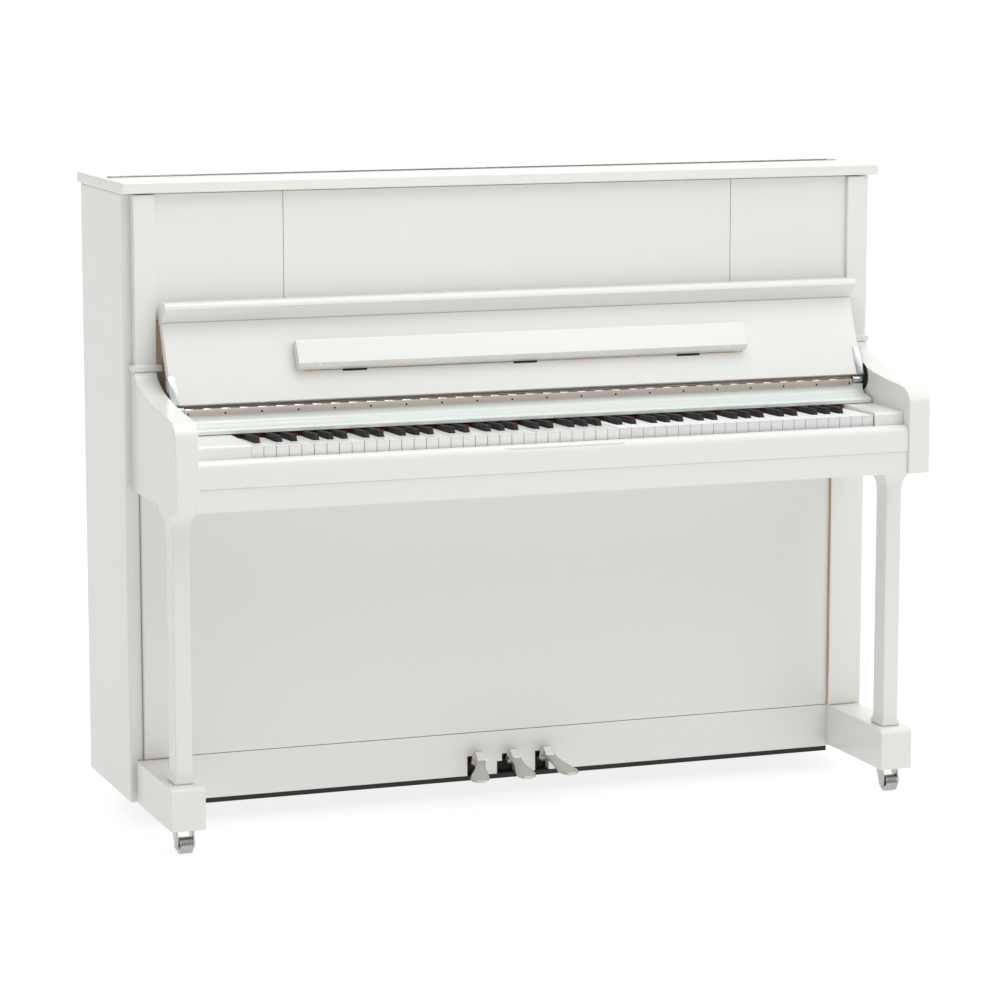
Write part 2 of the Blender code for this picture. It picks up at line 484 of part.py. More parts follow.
def build_bracket(side, sign, pin):
    """Steel end plate of the fallboard: angle over its end and face, round pivot boss at the hinge pin."""
    end, outer = FALL_HALF + GAP, FALL_HALF + GAP + BRACKET_PLATE
    back = FALL_FACE - FALL_THICK
    front = FALL_FACE + GAP + 0.0012
    x0, x1 = end, outer
    plate = [off_hinge(FALL_START - 0.004, back), off_hinge(FALL_START - 0.004, front),
             off_hinge(BRACKET_LONG - 0.004, front), off_hinge(BRACKET_LONG, front - 0.004),
             off_hinge(BRACKET_LONG, back + 0.006), off_hinge(BRACKET_LONG - 0.012, back)]
    flange = [off_hinge(FALL_START + 0.001, FALL_FACE + GAP), off_hinge(FALL_START + 0.001, front),
              off_hinge(BRACKET_LONG - 0.002, front), off_hinge(BRACKET_LONG - 0.002, FALL_FACE + GAP)]
    parts = [profile(flange, end - BRACKET_FLANGE, outer - 0.001), rod(BOSS_R, HINGE_HALF + 0.001, x1, HINGE_Y, HINGE_Z)]
    base = profile(plate, x0, x1)
    if sign < 0:
        base = mirrored(base)
        parts = [mirrored(p) for p in parts]
    bracket = place(f"fallboard_bracket_{side}", base, "nickel", origin=pin)
    combined(bracket, parts, "UNION")


def build_legs():
    """Legs with a coved cap, and toe blocks."""
    both("leg", leg_shape, "lacquer", bevel=0.002)
    toe = [(LOW_PIL_FRONT_Y - GAP, TOE_FOOT_Z), (LOW_PIL_FRONT_Y - GAP, TOE_TOP_Z), (TOE_FRONT_Y + 0.015, TOE_TOP_Z),
           (TOE_FRONT_Y + 0.008, TOE_TOP_Z - 0.0018), (TOE_FRONT_Y + 0.0025, TOE_TOP_Z - 0.0065),
           (TOE_FRONT_Y, TOE_TOP_Z - 0.0145), (TOE_FRONT_Y, TOE_FOOT_Z)]
    both("toe_block", lambda: profile(toe, TOE_IN, TOE_OUT), "lacquer", bevel=0.002)


def leg_shape():
    """A square leg whose head flares out in a cove under the key bed."""
    bm = bmesh.new()
    rings = []
    for z, f in LEG_FLARE:
        corners = [(LEG_X0 - f, LEG_Y0 - f), (LEG_X1 + f, LEG_Y0 - f), (LEG_X1 + f, LEG_Y1 + f), (LEG_X0 - f, LEG_Y1 + f)]
        rings.append([bm.verts.new((*c, z)) for c in corners])
    close_rings(bm, rings)
    return bm


def build_casters():
    """Four swivelling casters: a fork with its axle, and a metal roller on it."""
    spots = {"front_left": (-CASTER_FRONT[0], CASTER_FRONT[1]), "front_right": CASTER_FRONT,
             "rear_left": (-CASTER_REAR[0], CASTER_REAR[1]), "rear_right": CASTER_REAR}
    for name, (x, y) in spots.items():
        top = TOE_FOOT_Z - GAP
        hub_y = y - WHEEL_TRAIL
        outer, inner = FORK_HALF, FORK_HALF - CHEEK
        plate = [(x - outer, y - 0.019), (x + outer, y - 0.019), (x + outer, y + 0.014), (x + 0.010, y + 0.021),
                 (x - 0.010, y + 0.021), (x - outer, y + 0.014)]
        cheek = [(y + 0.012, top - 0.002), (y - 0.017, top - 0.002), (hub_y - 0.010, WHEEL_R + 0.006),
                 (hub_y - 0.0085, WHEEL_R - 0.0035), (hub_y, WHEEL_R - 0.008), (hub_y + 0.0085, WHEEL_R - 0.0035),
                 (hub_y + 0.012, WHEEL_R + 0.008)]
        fork = place(f"caster_fork_{name}", plan(plate, top - FORK_PLATE, top), "nickel",
                     origin=(x, y, top))
        combined(fork, [profile(cheek, x + inner, x + outer), profile(cheek, x - outer, x - inner),
                        rod(AXLE_R, x - inner - 0.001, x + inner + 0.001, hub_y, WHEEL_R, 16)], "UNION")
        wheel = place(f"caster_wheel_{name}", rod(WHEEL_R, x - WHEEL_HALF, x + WHEEL_HALF, hub_y, WHEEL_R, 32),
                      "nickel", origin=(x, hub_y, WHEEL_R))
        combined(wheel, [rod(AXLE_R + AXLE_CLEAR, x - 0.05, x + 0.05, hub_y, WHEEL_R, 16)], "DIFFERENCE")


def build_pedals():
    """Three cast pedals: square raised neck in front of the rail, waist, rounded toe."""
    for side, (x, splay) in PEDALS.items():
        bm = bmesh.new()
        rings = []
        for y, z, w, h, s in PEDAL_LINE:
            rings.append([bm.verts.new((x + splay * s + w * cx, y, z + h * cz)) for cx, cz in PEDAL_SECTION])
        close_rings(bm, rings)
        place(f"pedal_{side}", bm, "nickel", origin=(x, PEDAL_AXIS_Y, PEDAL_AXIS_Z))


def build_back():
    """Back frame of five posts between two beams, soundboard, iron plate."""
    half = SIDE_IN - GAP
    head = LID_UNDER_Z - 0.002
    frame = place("back_frame", block(-half, half, FRAME_FRONT_Y, BACK_Y - 0.001, FRAME_FOOT_Z, head), "beech")
    edges = [-half, *[x + sign * POST_WIDE / 2 for x in POSTS for sign in (-1, 1)], half]
    bays = list(zip(edges[2:-2:2], edges[3:-1:2]))
    combined(frame, [block(a, b, 0.0, 0.5, FRAME_FOOT_Z + FRAME_BEAM, head - FRAME_BEAM) for a, b in bays],
             "DIFFERENCE")
    place("soundboard", block(-0.7200, 0.7200, BOARD_Y, BOARD_Y + BOARD_THICK, BOARD_FOOT_Z, BOARD_HEAD_Z), "spruce")
    place("iron_plate", block(-PLATE_HALF, PLATE_HALF, PLATE_Y, PLATE_Y + PLATE_THICK, PLATE_FOOT_Z, PLATE_HEAD_Z),
          "gilt_iron", bevel=0.002)


def main():
    clear_scene()
    build_case()
    build_lid()
    build_panels()
    build_key_bed()
    build_keys()
    build_fallboard()
    build_legs()
    build_casters()
    build_pedals()
    build_back()


main()
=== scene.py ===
"""Looks of a white upright piano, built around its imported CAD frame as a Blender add-on.

Depth in the constants below is given in the case frame (y = 0 at the lid's front edge); row() turns it
into the frame's own y.
"""

import json
import math

import bmesh
import bpy
from bpy.props import FloatProperty, FloatVectorProperty, IntProperty, PointerProperty
from bpy.types import Operator, Panel, PropertyGroup
from mathutils import Matrix, Vector


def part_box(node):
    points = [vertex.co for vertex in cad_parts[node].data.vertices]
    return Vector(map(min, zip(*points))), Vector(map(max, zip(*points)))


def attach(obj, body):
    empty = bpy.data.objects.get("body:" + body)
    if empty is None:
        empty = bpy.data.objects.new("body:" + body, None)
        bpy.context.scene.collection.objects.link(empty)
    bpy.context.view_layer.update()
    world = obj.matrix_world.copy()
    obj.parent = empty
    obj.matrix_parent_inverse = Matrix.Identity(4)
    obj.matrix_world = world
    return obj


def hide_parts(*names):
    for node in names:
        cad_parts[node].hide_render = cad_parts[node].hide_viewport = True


bl_info = {
    "name": "Upright Piano",
    "version": (1, 0, 0),
    "blender": (4, 5, 0),
    "location": "3D View > Sidebar > Piano",
    "description": "Finishes and fine detail of a white upright piano",
    "category": "Object",
}

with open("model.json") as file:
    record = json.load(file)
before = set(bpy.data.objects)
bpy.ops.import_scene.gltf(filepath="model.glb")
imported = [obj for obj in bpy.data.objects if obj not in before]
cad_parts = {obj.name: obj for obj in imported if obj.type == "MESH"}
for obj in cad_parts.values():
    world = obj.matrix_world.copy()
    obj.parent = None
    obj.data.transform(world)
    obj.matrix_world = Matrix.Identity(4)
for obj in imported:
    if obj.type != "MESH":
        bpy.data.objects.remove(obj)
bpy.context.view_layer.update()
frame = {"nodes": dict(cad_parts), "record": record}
NODES = frame["nodes"]

MID_Y = 0.0325  # middle of the whole depth
CLEAR = 0.0001  # gap between a piece and what it lies on
SIDES = (("left", -1.0), ("right", 1.0))

# ---- keyboard ---------------------------------------------------------------------------------------
PITCH, WHITE_COUNT, KEYS_LEFT = 0.02371, 52, -0.5942
KEYS_RIGHT = KEYS_LEFT + PITCH * WHITE_COUNT
KEY_SLOPE = math.radians(1.4)  # the keys lie a little lower at the back
KEY_FRONT, KEY_TOP, KEY_FOOT, KEY_TAIL = -0.247, 0.752, 0.7298, 0.125
SHARP_FRONT, SHARP_TAIL, SHARP_TOP, SHARP_FALL = -0.197, -0.1125, 0.7632, 0.0026
SHARP_RAKE, SHARP_DRAFT, SHARP_SINK = 0.0055, 0.0009, 0.0020  # sloped front, drawn-in sides, sunk foot
SHARP_NARROW, SHARP_BACKSET = 0.0006, 0.001  # a black key's wooden body inside its cap
SHARP_SHIFT = {"c": -0.0022, "d": 0.0022, "f": -0.0034, "g": 0.0, "a": 0.0034}
NOTES = "abcdefg"
OCTAVE_FIRST = 23  # white keys below the octave whose keys move one by one
OCTAVE = range(OCTAVE_FIRST, OCTAVE_FIRST + 7)
KEY_RUNS = {"bass": (0, OCTAVE_FIRST), "treble": (OCTAVE_FIRST + 7, WHITE_COUNT - OCTAVE_FIRST - 7)}
NOTCH_HALF, NOTCH_CLEAR, NOTCH_AHEAD = 0.0056, 0.0012, 0.0013  # a white key's cut-out beside a black one
COVER_BACK, COVER_ROUND = -0.105, 0.0005
PLATE_FRONT, PLATE_BACK = 0.0005, 0.002  # a covering's front plate, behind the key's front edge
STICK_PROUD, STICK_FRONT, STICK_SHORT, STICK_LIFT = 0.00022, 0.0021, 0.002, 0.0004  # wooden bodies

# ---- felts and raw timber round the keys (spans across, deep and high) --------------------------------
KEY_FELT = (KEYS_LEFT, KEYS_RIGHT), (-0.1105, -0.1088), (0.7499, 0.7535)
BALANCE_FELT = (-0.66, 0.66), (-0.020, -0.0185), (0.700, 0.7215)
SIDE_STRIPS = {  # also the rounding of the edges and the finish
    # the cheeks' wood is lightened: painted light against the shade of their recess
    "cheek": ((0.655, 0.6984), (0.0145, 0.030), (0.690, 0.9560), 0.0006, "cheek_wood_painted_light"),
    "pilaster_foot": ((0.6796, 0.7440), (0.0190, 0.0212), (0.1303, 0.1318), 0.0, "raw_wood"),
    "panel_rebate": ((0.67855, 0.67915), (0.0212, 0.0278), (0.132, 0.636), 0.0, "raw_wood"),
}
LID_REST_X, LID_REST_Y, LID_REST_SINK, LID_REST_CLEAR = (-0.698, 0.698), (0.0165, 0.0300), 0.0006, 0.0003

# ---- fallboard (s runs up the board from the hinge pin, n stands off it) -----------------------------
PIN_Y, PIN_Z = -0.078, 0.7990
LEAN = math.radians(24.5)
BOARD_FACE, BOARD_FOOT = 0.0081, 0.0084
HINGE_HALF, KNUCKLE_R, KNUCKLE_GAP = 0.672, 0.0034, 0.0007
LEAF_Y, LEAF_FOOT, LEAF_THICK, LEAF_DROP = -0.0830, 0.7885, 0.0007, 0.0018
WING_S, WING_N = (0.0040, BOARD_FOOT - 0.0003), (-0.0024, -0.0012)  # the moving leaf
SCREW_Z, SCREW_HIGH = 0.7928, 0.0009
LID_KNUCKLE_PITCH, LID_KNUCKLE_R, LID_KNUCKLE_GAP = 0.022, 0.0020, 0.0007
# a flat black disc on each arm's inner face: painted shade standing for the pivot's recess
RECESS_AT, RECESS_R, RECESS_THICK = (0.6992, -0.069, 0.804), 0.0265, 0.0008
BOSS_AT, BOSS_R, BOSS_THICK = (0.69850, -0.0745, 0.7960), 0.0088, 0.0010

# ---- music desk ------------------------------------------------------------------------------------------
DESK_HINGES = {"bass": -0.338, "middle": 0.0, "treble": 0.334}
DESK_HINGE_HALF, DESK_HINGE_S, DESK_HINGE_THICK = 0.0237, (0.0606, 0.0645), 0.0006
DESK_REST_HALF, DESK_REST_S, DESK_REST_THICK = 0.436, (0.0632, 0.0648), 0.0004
BUMPER_X, BUMPER_S, BUMPER_N, BUMPER_TILT = 0.410, 0.0686, 0.0272, math.radians(58.0)
BUMPER_R, BUMPER_THICK = 0.0032, 0.0022

# ---- case ------------------------------------------------------------------------------------------------
NAME_COVE = [(-0.0815, 0.7915), (-0.0815, 0.7870), (-0.0830, 0.7800), (-0.0870, 0.7752), (-0.0940, 0.7722),
             (-0.1050, 0.7700), (-0.1150, 0.7680), (-0.1192, 0.7655), (-0.1200, 0.7630), (-0.1200, 0.7584)]
NAME_BOARD_THICK = 0.057
ARM_TOP = [(0.0024, 0.863), (-0.004, 0.852), (-0.020, 0.842), (-0.049, 0.832), (-0.097, 0.8215),
           (-0.145, 0.814), (-0.192, 0.809), (-0.238, 0.805), (-0.256, 0.801), (-0.268, 0.793),
           (-0.2755, 0.7815), (-0.278, 0.766)]
ARM_BACK, ARM_FOOT = 0.0297, 0.640
LACQUERED = {  # nodes whose shape is kept, with evenly polished edges, and their bodies
    "pilaster_left": "case", "pilaster_right": "case", "leg_left": "case", "leg_right": "case",
    "toe_block_left": "case", "toe_block_right": "case", "key_slip": "case", "key_block_left": "case",
    "key_block_right": "case", "fallboard": "fallboard", "fallboard_lip": "fallboard",
    "music_desk": "music_desk", "lid_front": "lid_front", "lid_rear": "case",
}

# ---- pedals and casters ----------------------------------------------------------------------------------
PEDAL_X = {"left": -0.0715, "middle": 0.0, "right": 0.0687}
PAD_HALF = 0.0088
PAD_SLOPE = [(-0.0030, 0.0991), (-0.0185, 0.0862), (-0.0178, 0.0848), (-0.0020, 0.0978)]
SLOT_FELT_HALF, SLOT_FELT_Z, SLOT_FELT_INSET = 0.0142, (0.0828, 0.0843), 0.0010
SHADOW_HALF, SHADOW_Y, SHADOW_TOP = 0.16, (0.0006, 0.0016), 0.112  # black sheet behind the pedal slots
AXLE_BORE, RIDGE_DEEP, RIM_DROP, ROLLER_STEPS = 0.0034, 0.0011, 0.0006, 40

# ---- back ------------------------------------------------------------------------------------------------
BAY_X, BAY_PITCH, BEAM_HIGH = (-0.465, -0.155, 0.155, 0.465), 0.31, 0.112
RIB_WIDE, RIB_PITCH, RIB_DEEP, RIB_THICK = 0.2340, 0.0870, 0.0155, 0.021
RIB_RISE = RIB_WIDE * (3 * RIB_PITCH) / BAY_PITCH

# ---- action (depths are measured forward from the iron plate) ----------------------------------------------
NOTE_COUNT, NOTE_STEP = 88, 0.0140
BASS_NOTES, UNDAMPED_NOTES = 28, 18
STRING_LONG, STRING_Z, STRING_OFF = 0.950, 0.640, 0.0040
PIN_ROWS, PIN_FOOT_Z, PIN_ROW_RISE, PIN_STAGGER, PIN_OFF = 3, 1.108, 0.0125, 0.0035, 0.011
BRACKET_COUNT, BRACKET_FIRST, BRACKET_STEP = 4, -0.620, 0.413
RAIL_HALF = 0.640

# ---- stage -----------------------------------------------------------------------------------------------
FLOOR_SIZE, FLOOR_GREY, FLOOR_GLOW = 120.0, 0.22, 0.83
CAMERA_AT = (-2.4060, -6.4617, 1.6785)
CAMERA_PITCH, CAMERA_TURN, SENSOR = math.radians(90.0 - 9.0007), math.radians(-20.1976), 36.0


def row(y):
    """Case-frame depth to the frame's y."""
    return y - MID_Y


# ---- sizes and colours a user may change -------------------------------------------------------------
class PianoFinish(PropertyGroup):
    """Colours of the finishes"""

    lacquer: FloatVectorProperty(name="Lacquer", description="Colour of the polished white lacquer",
                                 subtype="COLOR", size=3, min=0.0, max=1.0, default=(0.815, 0.82, 0.812))
    covering: FloatVectorProperty(name="Key covering", description="Colour of the white keys' covering",
                                  subtype="COLOR", size=3, min=0.0, max=1.0, default=(0.92, 0.92, 0.915))
    ebony: FloatVectorProperty(name="Sharps", description="Colour of the black keys",
                               subtype="COLOR", size=3, min=0.0, max=1.0, default=(0.004, 0.004, 0.005))
    nickel: FloatVectorProperty(name="Nickel", description="Colour of the bright metal parts",
                                subtype="COLOR", size=3, min=0.0, max=1.0, default=(0.66, 0.655, 0.63))
    hinge: FloatVectorProperty(name="Hinge metal", description="Colour of the long hinges",
                               subtype="COLOR", size=3, min=0.0, max=1.0, default=(0.50, 0.43, 0.37))
    felt: FloatVectorProperty(name="Felt", description="Colour of the felt behind the keys",
                              subtype="COLOR", size=3, min=0.0, max=1.0, default=(0.42, 0.012, 0.016))


class PianoSizes(PropertyGroup):
    """Sizes and counts of the fine detail"""

    key_slit: FloatProperty(name="Key slit", description="Gap between neighbouring white keys",
                            subtype="DISTANCE", unit="LENGTH", default=0.0011, min=0.0005, max=0.002)
    cover_thick: FloatProperty(name="Covering thickness", description="Thickness of the white keys' covering",
                               subtype="DISTANCE", unit="LENGTH", default=0.0022, min=0.001, max=0.004)
    sharp_wide: FloatProperty(name="Sharp width", description="Width of a black key at its foot",
                              subtype="DISTANCE", unit="LENGTH", default=0.0108, min=0.009, max=0.012)
    knuckle: FloatProperty(name="Knuckle length", description="Length of one knuckle of the fallboard's hinge",
                           subtype="DISTANCE", unit="LENGTH", default=0.0175, min=0.01, max=0.03)
    screw_pitch: FloatProperty(name="Screw pitch", description="Distance between the hinge's screws",
                               subtype="DISTANCE", unit="LENGTH", default=0.070, min=0.03, max=0.12)
    screw_radius: FloatProperty(name="Screw radius", description="Radius of a hinge screw's head",
                                subtype="DISTANCE", unit="LENGTH", default=0.0022, min=0.001, max=0.004)
    roller_ridges: IntProperty(name="Roller ridges", description="Ridges round each caster roller",
                               default=5, min=2, max=9)
    rib_count: IntProperty(name="Soundboard ribs", description="Ribs on the back of the soundboard",
                           default=11, min=5, max=15)


class PianoStage(PropertyGroup):
    """Light and lens"""

    key_power: FloatProperty(name="Key light", description="Power of the light to the upper right",
                             subtype="POWER", default=27.0, min=0.0)
    top_power: FloatProperty(name="Top light", description="Power of the light overhead",
                             subtype="POWER", default=8.0, min=0.0)
    sky: FloatProperty(name="Surround", description="Brightness of the white surround", default=0.66, min=0.0)
    bass_side: FloatProperty(name="Bass side", description="Brightness of the surround to the bass side",
                             default=0.31, min=0.0)
    overhead: FloatProperty(name="Overhead", description="How much brighter the surround is overhead",
                            default=3.5, min=0.0)
    behind: FloatProperty(name="Behind", description="How much brighter the surround is behind the piano",
                          default=1.66, min=0.0)
    lens: FloatProperty(name="Lens", description="Focal length on a 36 mm wide sensor", default=131.22,
                        min=20.0)


# ---- materials -----------------------------------------------------------------------------------------
def finish_of(name, rough, metal=0.0, **sockets):
    """A new Principled material with its fixed sockets set; returns material, tree, shader."""
    mat = bpy.data.materials.new(name)
    mat.use_nodes = True
    shader = mat.node_tree.nodes["Principled BSDF"]
    shader.inputs["Roughness"].default_value = rough
    shader.inputs["Metallic"].default_value = metal
    for key, value in sockets.items():
        shader.inputs[key.replace("_", " ")].default_value = value
    return mat, mat.node_tree, shader


def stretched(tree, scale=(1.0, 1.0, 1.0)):
    """Object coordinates through a Mapping node."""
    coord = tree.nodes.new("ShaderNodeTexCoord")
    mapping = tree.nodes.new("ShaderNodeMapping")
    mapping.inputs["Scale"].default_value = scale
    tree.links.new(coord.outputs["Object"], mapping.inputs["Vector"])
    return mapping.outputs["Vector"]


def noise(tree, vector, scale, detail=3.0, rough=0.5):
    """A noise texture's factor."""
    node = tree.nodes.new("ShaderNodeTexNoise")
    node.inputs["Scale"].default_value = scale
    node.inputs["Detail"].default_value = detail
    node.inputs["Roughness"].default_value = rough
    tree.links.new(vector, node.inputs["Vector"])
    return node.outputs["Fac"]


def between(tree, factor, stops):
    """Colours picked by a factor: stops are (position, colour)."""
    ramp = tree.nodes.new("ShaderNodeValToRGB")
    while len(ramp.color_ramp.elements) < len(stops):
        ramp.color_ramp.elements.new(0.5)
    for element, (place, colour) in zip(ramp.color_ramp.elements, stops):
        element.position = place
        element.color = (*colour, 1.0)
    tree.links.new(factor, ramp.inputs["Fac"])
    return ramp.outputs["Color"]


def ranged(tree, factor, low, high, start=0.3, stop=0.7):
    """A factor from start..stop spread over low..high."""
    node = tree.nodes.new("ShaderNodeMapRange")
    for label, value in (("From Min", start), ("From Max", stop), ("To Min", low), ("To Max", high)):
        node.inputs[label].default_value = value
    tree.links.new(factor, node.inputs["Value"])
    return node.outputs["Result"]


def bumped(tree, shader, height, distance, strength=1.0):
    """Feed a height into the shader's normal."""
    bump = tree.nodes.new("ShaderNodeBump")
    bump.inputs["Strength"].default_value = strength
    bump.inputs["Distance"].default_value = distance
    tree.links.new(height, bump.inputs["Height"])
    tree.links.new(bump.outputs["Normal"], shader.inputs["Normal"])


def shaded(colour, amount):
    """The colour scaled by an amount, kept below 1."""
    return tuple(min(1.0, c * amount) for c in colour)


def gloss_paint(name, colour, rough=0.10, drift=0.025, peel=0.00003, coat=0.35, coat_rough=0.05):
    """Thick polished lacquer: slow drift of tone, faint orange peel, uneven polish."""
    mat, tree, shader = finish_of(name, rough, Coat_Weight=coat, Coat_Roughness=coat_rough,
                                  Specular_IOR_Level=0.5)
    where = stretched(tree)
    slow = noise(tree, where, 2.3, 2.0)
    tone = between(tree, slow, [(0.3, shaded(colour, 1.0 - drift)), (0.7, shaded(colour, 1.0 + drift))])
    tree.links.new(tone, shader.inputs["Base Color"])
    polish = noise(tree, where, 9.0, 4.0)
    tree.links.new(ranged(tree, polish, rough * 0.7, rough * 1.4), shader.inputs["Roughness"])
    bumped(tree, shader, noise(tree, where, 260.0, 2.0), peel, 0.35)
    return mat


def metal(name, colour, rough, brush=(1.0, 1.0, 1.0), grain=900.0, depth=0.00002):
    """Plated metal: tone and roughness vary with fine brushing along the small-scale axis."""
    mat, tree, shader = finish_of(name, rough, 1.0)
    fine = noise(tree, stretched(tree, brush), grain, 4.0)
    broad = noise(tree, stretched(tree), 60.0, 3.0)
    tone = between(tree, broad, [(0.3, shaded(colour, 0.94)), (0.7, shaded(colour, 1.05))])
    tree.links.new(tone, shader.inputs["Base Color"])
    tree.links.new(ranged(tree, fine, rough * 0.6, rough * 1.5), shader.inputs["Roughness"])
    bumped(tree, shader, fine, depth, 0.4)
    return mat


def timber(name, pale, dark, rough=0.5, along=(1.0, 1.0, 0.08), scale=38.0, coat=0.0):
    """Wood: grain streaks drawn out along one axis over broad tone bands, with pores in the bump."""
    mat, tree, shader = finish_of(name, rough, Coat_Weight=coat, Coat_Roughness=0.2)
    streaks = noise(tree, stretched(tree, along), scale, 8.0, 0.62)
    bands = noise(tree, stretched(tree, tuple(a * 0.5 for a in along)), scale * 0.16, 2.0)
    grain = between(tree, streaks, [(0.38, dark), (0.50, shaded(pale, 0.88)), (0.62, shaded(pale, 1.10))])
    broad = between(tree, bands, [(0.38, (0.74, 0.72, 0.70)), (0.62, (1.0, 1.0, 1.0))])
    mix = tree.nodes.new("ShaderNodeMix")
    mix.data_type = "RGBA"
    mix.blend_type = "MULTIPLY"
    mix.inputs["Factor"].default_value = 1.0
    tree.links.new(grain, mix.inputs["A"])
    tree.links.new(broad, mix.inputs["B"])
    tree.links.new(mix.outputs["Result"], shader.inputs["Base Color"])
    tree.links.new(ranged(tree, streaks, rough * 1.15, rough * 0.85), shader.inputs["Roughness"])
    bumped(tree, shader, streaks, 0.0002, 0.5)
    return mat


def wool(name, colour):
    """Pressed felt: fibres in colour and bump, with sheen."""
    mat, tree, shader = finish_of(name, 0.95, Sheen_Weight=0.6, Sheen_Roughness=0.5)
    fibres = noise(tree, stretched(tree), 1500.0, 6.0, 0.7)
    tree.links.new(between(tree, fibres, [(0.3, shaded(colour, 0.6)), (0.7, shaded(colour, 1.25))]),
                   shader.inputs["Base Color"])
    bumped(tree, shader, fibres, 0.0006, 0.8)
    return mat


def painted(name, colour, rough, grain, depth, shine=0.5):
    """Flat paint over a textured ground."""
    mat, tree, shader = finish_of(name, rough, Specular_IOR_Level=shine)
    ground = noise(tree, stretched(tree), grain, 5.0, 0.6)
    tree.links.new(between(tree, ground, [(0.3, shaded(colour, 0.75)), (0.7, shaded(colour, 1.25))]),
                   shader.inputs["Base Color"])
    tree.links.new(ranged(tree, ground, rough * 0.85, min(1.0, rough * 1.15)), shader.inputs["Roughness"])
    bumped(tree, shader, ground, depth, 0.6)
    return mat


def make_finishes(colours):
    """Every material of the piano."""
    gloss_paint("lacquer", tuple(colours.lacquer))
    gloss_paint("ivory", tuple(colours.covering), rough=0.13, drift=0.012, peel=0.00001)
    gloss_paint("ebony", tuple(colours.ebony), rough=0.30, drift=0.3, peel=0.00001, coat=1.0, coat_rough=0.20)
    # The cove's lacquer is tinted green: a painted reflection of the surroundings, not a colour of its own
    gloss_paint("cove_lacquer_painted_reflection", shaded((0.93, 1.0, 0.945), colours.lacquer[1]))
    metal("nickel", tuple(colours.nickel), 0.16)
    metal("bracket_steel", (0.46, 0.49, 0.48), 0.26, brush=(1.0, 1.0, 0.05))
    metal("caster_metal", (0.47, 0.465, 0.44), 0.20, grain=700.0)
    metal("pedal_metal", (0.58, 0.565, 0.54), 0.22, grain=420.0, depth=0.0001)
    # much lighter than pedal_metal: the pad's polish is real, its light colour is a painted highlight
    metal("pad_metal_painted_highlight", (0.93, 0.93, 0.92), 0.10)
    metal("bronzed_metal", (0.21, 0.17, 0.135), 0.34, brush=(0.05, 1.0, 1.0))
    metal("hinge_metal", tuple(colours.hinge), 0.30, brush=(0.05, 1.0, 1.0))
    metal("dark_metal", (0.035, 0.033, 0.032), 0.34)
    metal("string_steel", (0.55, 0.55, 0.56), 0.22)
    metal("wound_copper", (0.60, 0.28, 0.16), 0.30, brush=(1.0, 1.0, 6.0))
    painted("black_paint", (0.006, 0.0055, 0.006), 0.60, 300.0, 0.0001, shine=0.12)
    painted("gilt_iron", (0.42, 0.30, 0.12), 0.42, 420.0, 0.0003)
    timber("spruce", (0.60, 0.41, 0.22), (0.42, 0.25, 0.11), 0.42, (1.0, 1.0, 0.03), 75.0, coat=0.2)
    timber("beech", (0.46, 0.30, 0.17), (0.29, 0.165, 0.085), 0.55, (1.0, 1.0, 0.06), 60.0)
    timber("raw_wood", (0.70, 0.48, 0.34), (0.54, 0.34, 0.22), 0.60, (1.0, 1.0, 0.10), 70.0)
    # raw wood's grain in a lighter copy for the cheeks: painted light against the shade of their recess
    timber("cheek_wood_painted_light", (0.93, 0.70, 0.54), (0.80, 0.56, 0.41), 0.60, (1.0, 1.0, 0.10), 70.0)
    timber("key_wood", (0.78, 0.52, 0.43), (0.64, 0.40, 0.31), 0.60, (1.0, 0.08, 1.0), 90.0)
    timber("hornbeam", (0.62, 0.50, 0.34), (0.50, 0.38, 0.24), 0.50, (1.0, 1.0, 0.15), 120.0)
    wool("red_felt", tuple(colours.felt))
    wool("white_felt", (0.72, 0.69, 0.62))


def material(name):
    """A finish by its name."""
    return bpy.data.materials[name]


# ---- shapes ------------------------------------------------------------------------------------------
def block(x0, x1, y0, y1, z0, z1, bevel=0.0, segments=2):
    """A box, with its edges rounded if a bevel is given."""
    bm = bmesh.new()
    bmesh.ops.create_cube(bm, size=1.0)
    bmesh.ops.scale(bm, verts=bm.verts, vec=(x1 - x0, y1 - y0, z1 - z0))
    bmesh.ops.translate(bm, verts=bm.verts, vec=((x0 + x1) / 2, (y0 + y1) / 2, (z0 + z1) / 2))
    return rounded(bm, bevel, segments)


def bar(across, deep, high, bevel=0.0, segments=2):
    """A box from its spans, with its depth in the case frame."""
    return block(*across, row(deep[0]), row(deep[1]), *high, bevel, segments)


def mirrored(span, sign):
    """A span of x taken to one side of the piano."""
    return sorted(sign * x for x in span)


def rounded(bm, width, segments=2, angle=40.0):
    """Round the edges sharper than an angle."""
    if width:
        limit = math.radians(angle)
        sharp = [e for e in bm.edges if len(e.link_faces) == 2 and e.calc_face_angle(0.0) > limit]
        bmesh.ops.bevel(bm, geom=sharp, offset=width, segments=segments, profile=0.5, affect="EDGES",
                        clamp_overlap=True)
    return bm


def rod(radius, length, axis="X", sides=20, bevel=0.0):
    """A cylinder centred on the origin."""
    bm = bmesh.new()
    bmesh.ops.create_cone(bm, cap_ends=True, segments=sides, radius1=radius, radius2=radius, depth=length)
    if axis != "Z":
        to = Vector((1.0, 0.0, 0.0)) if axis == "X" else Vector((0.0, 1.0, 0.0))
        turn = Vector((0.0, 0.0, 1.0)).rotation_difference(to).to_matrix()
        bmesh.ops.rotate(bm, verts=bm.verts, matrix=turn)
    return rounded(bm, bevel, 2, 60.0)


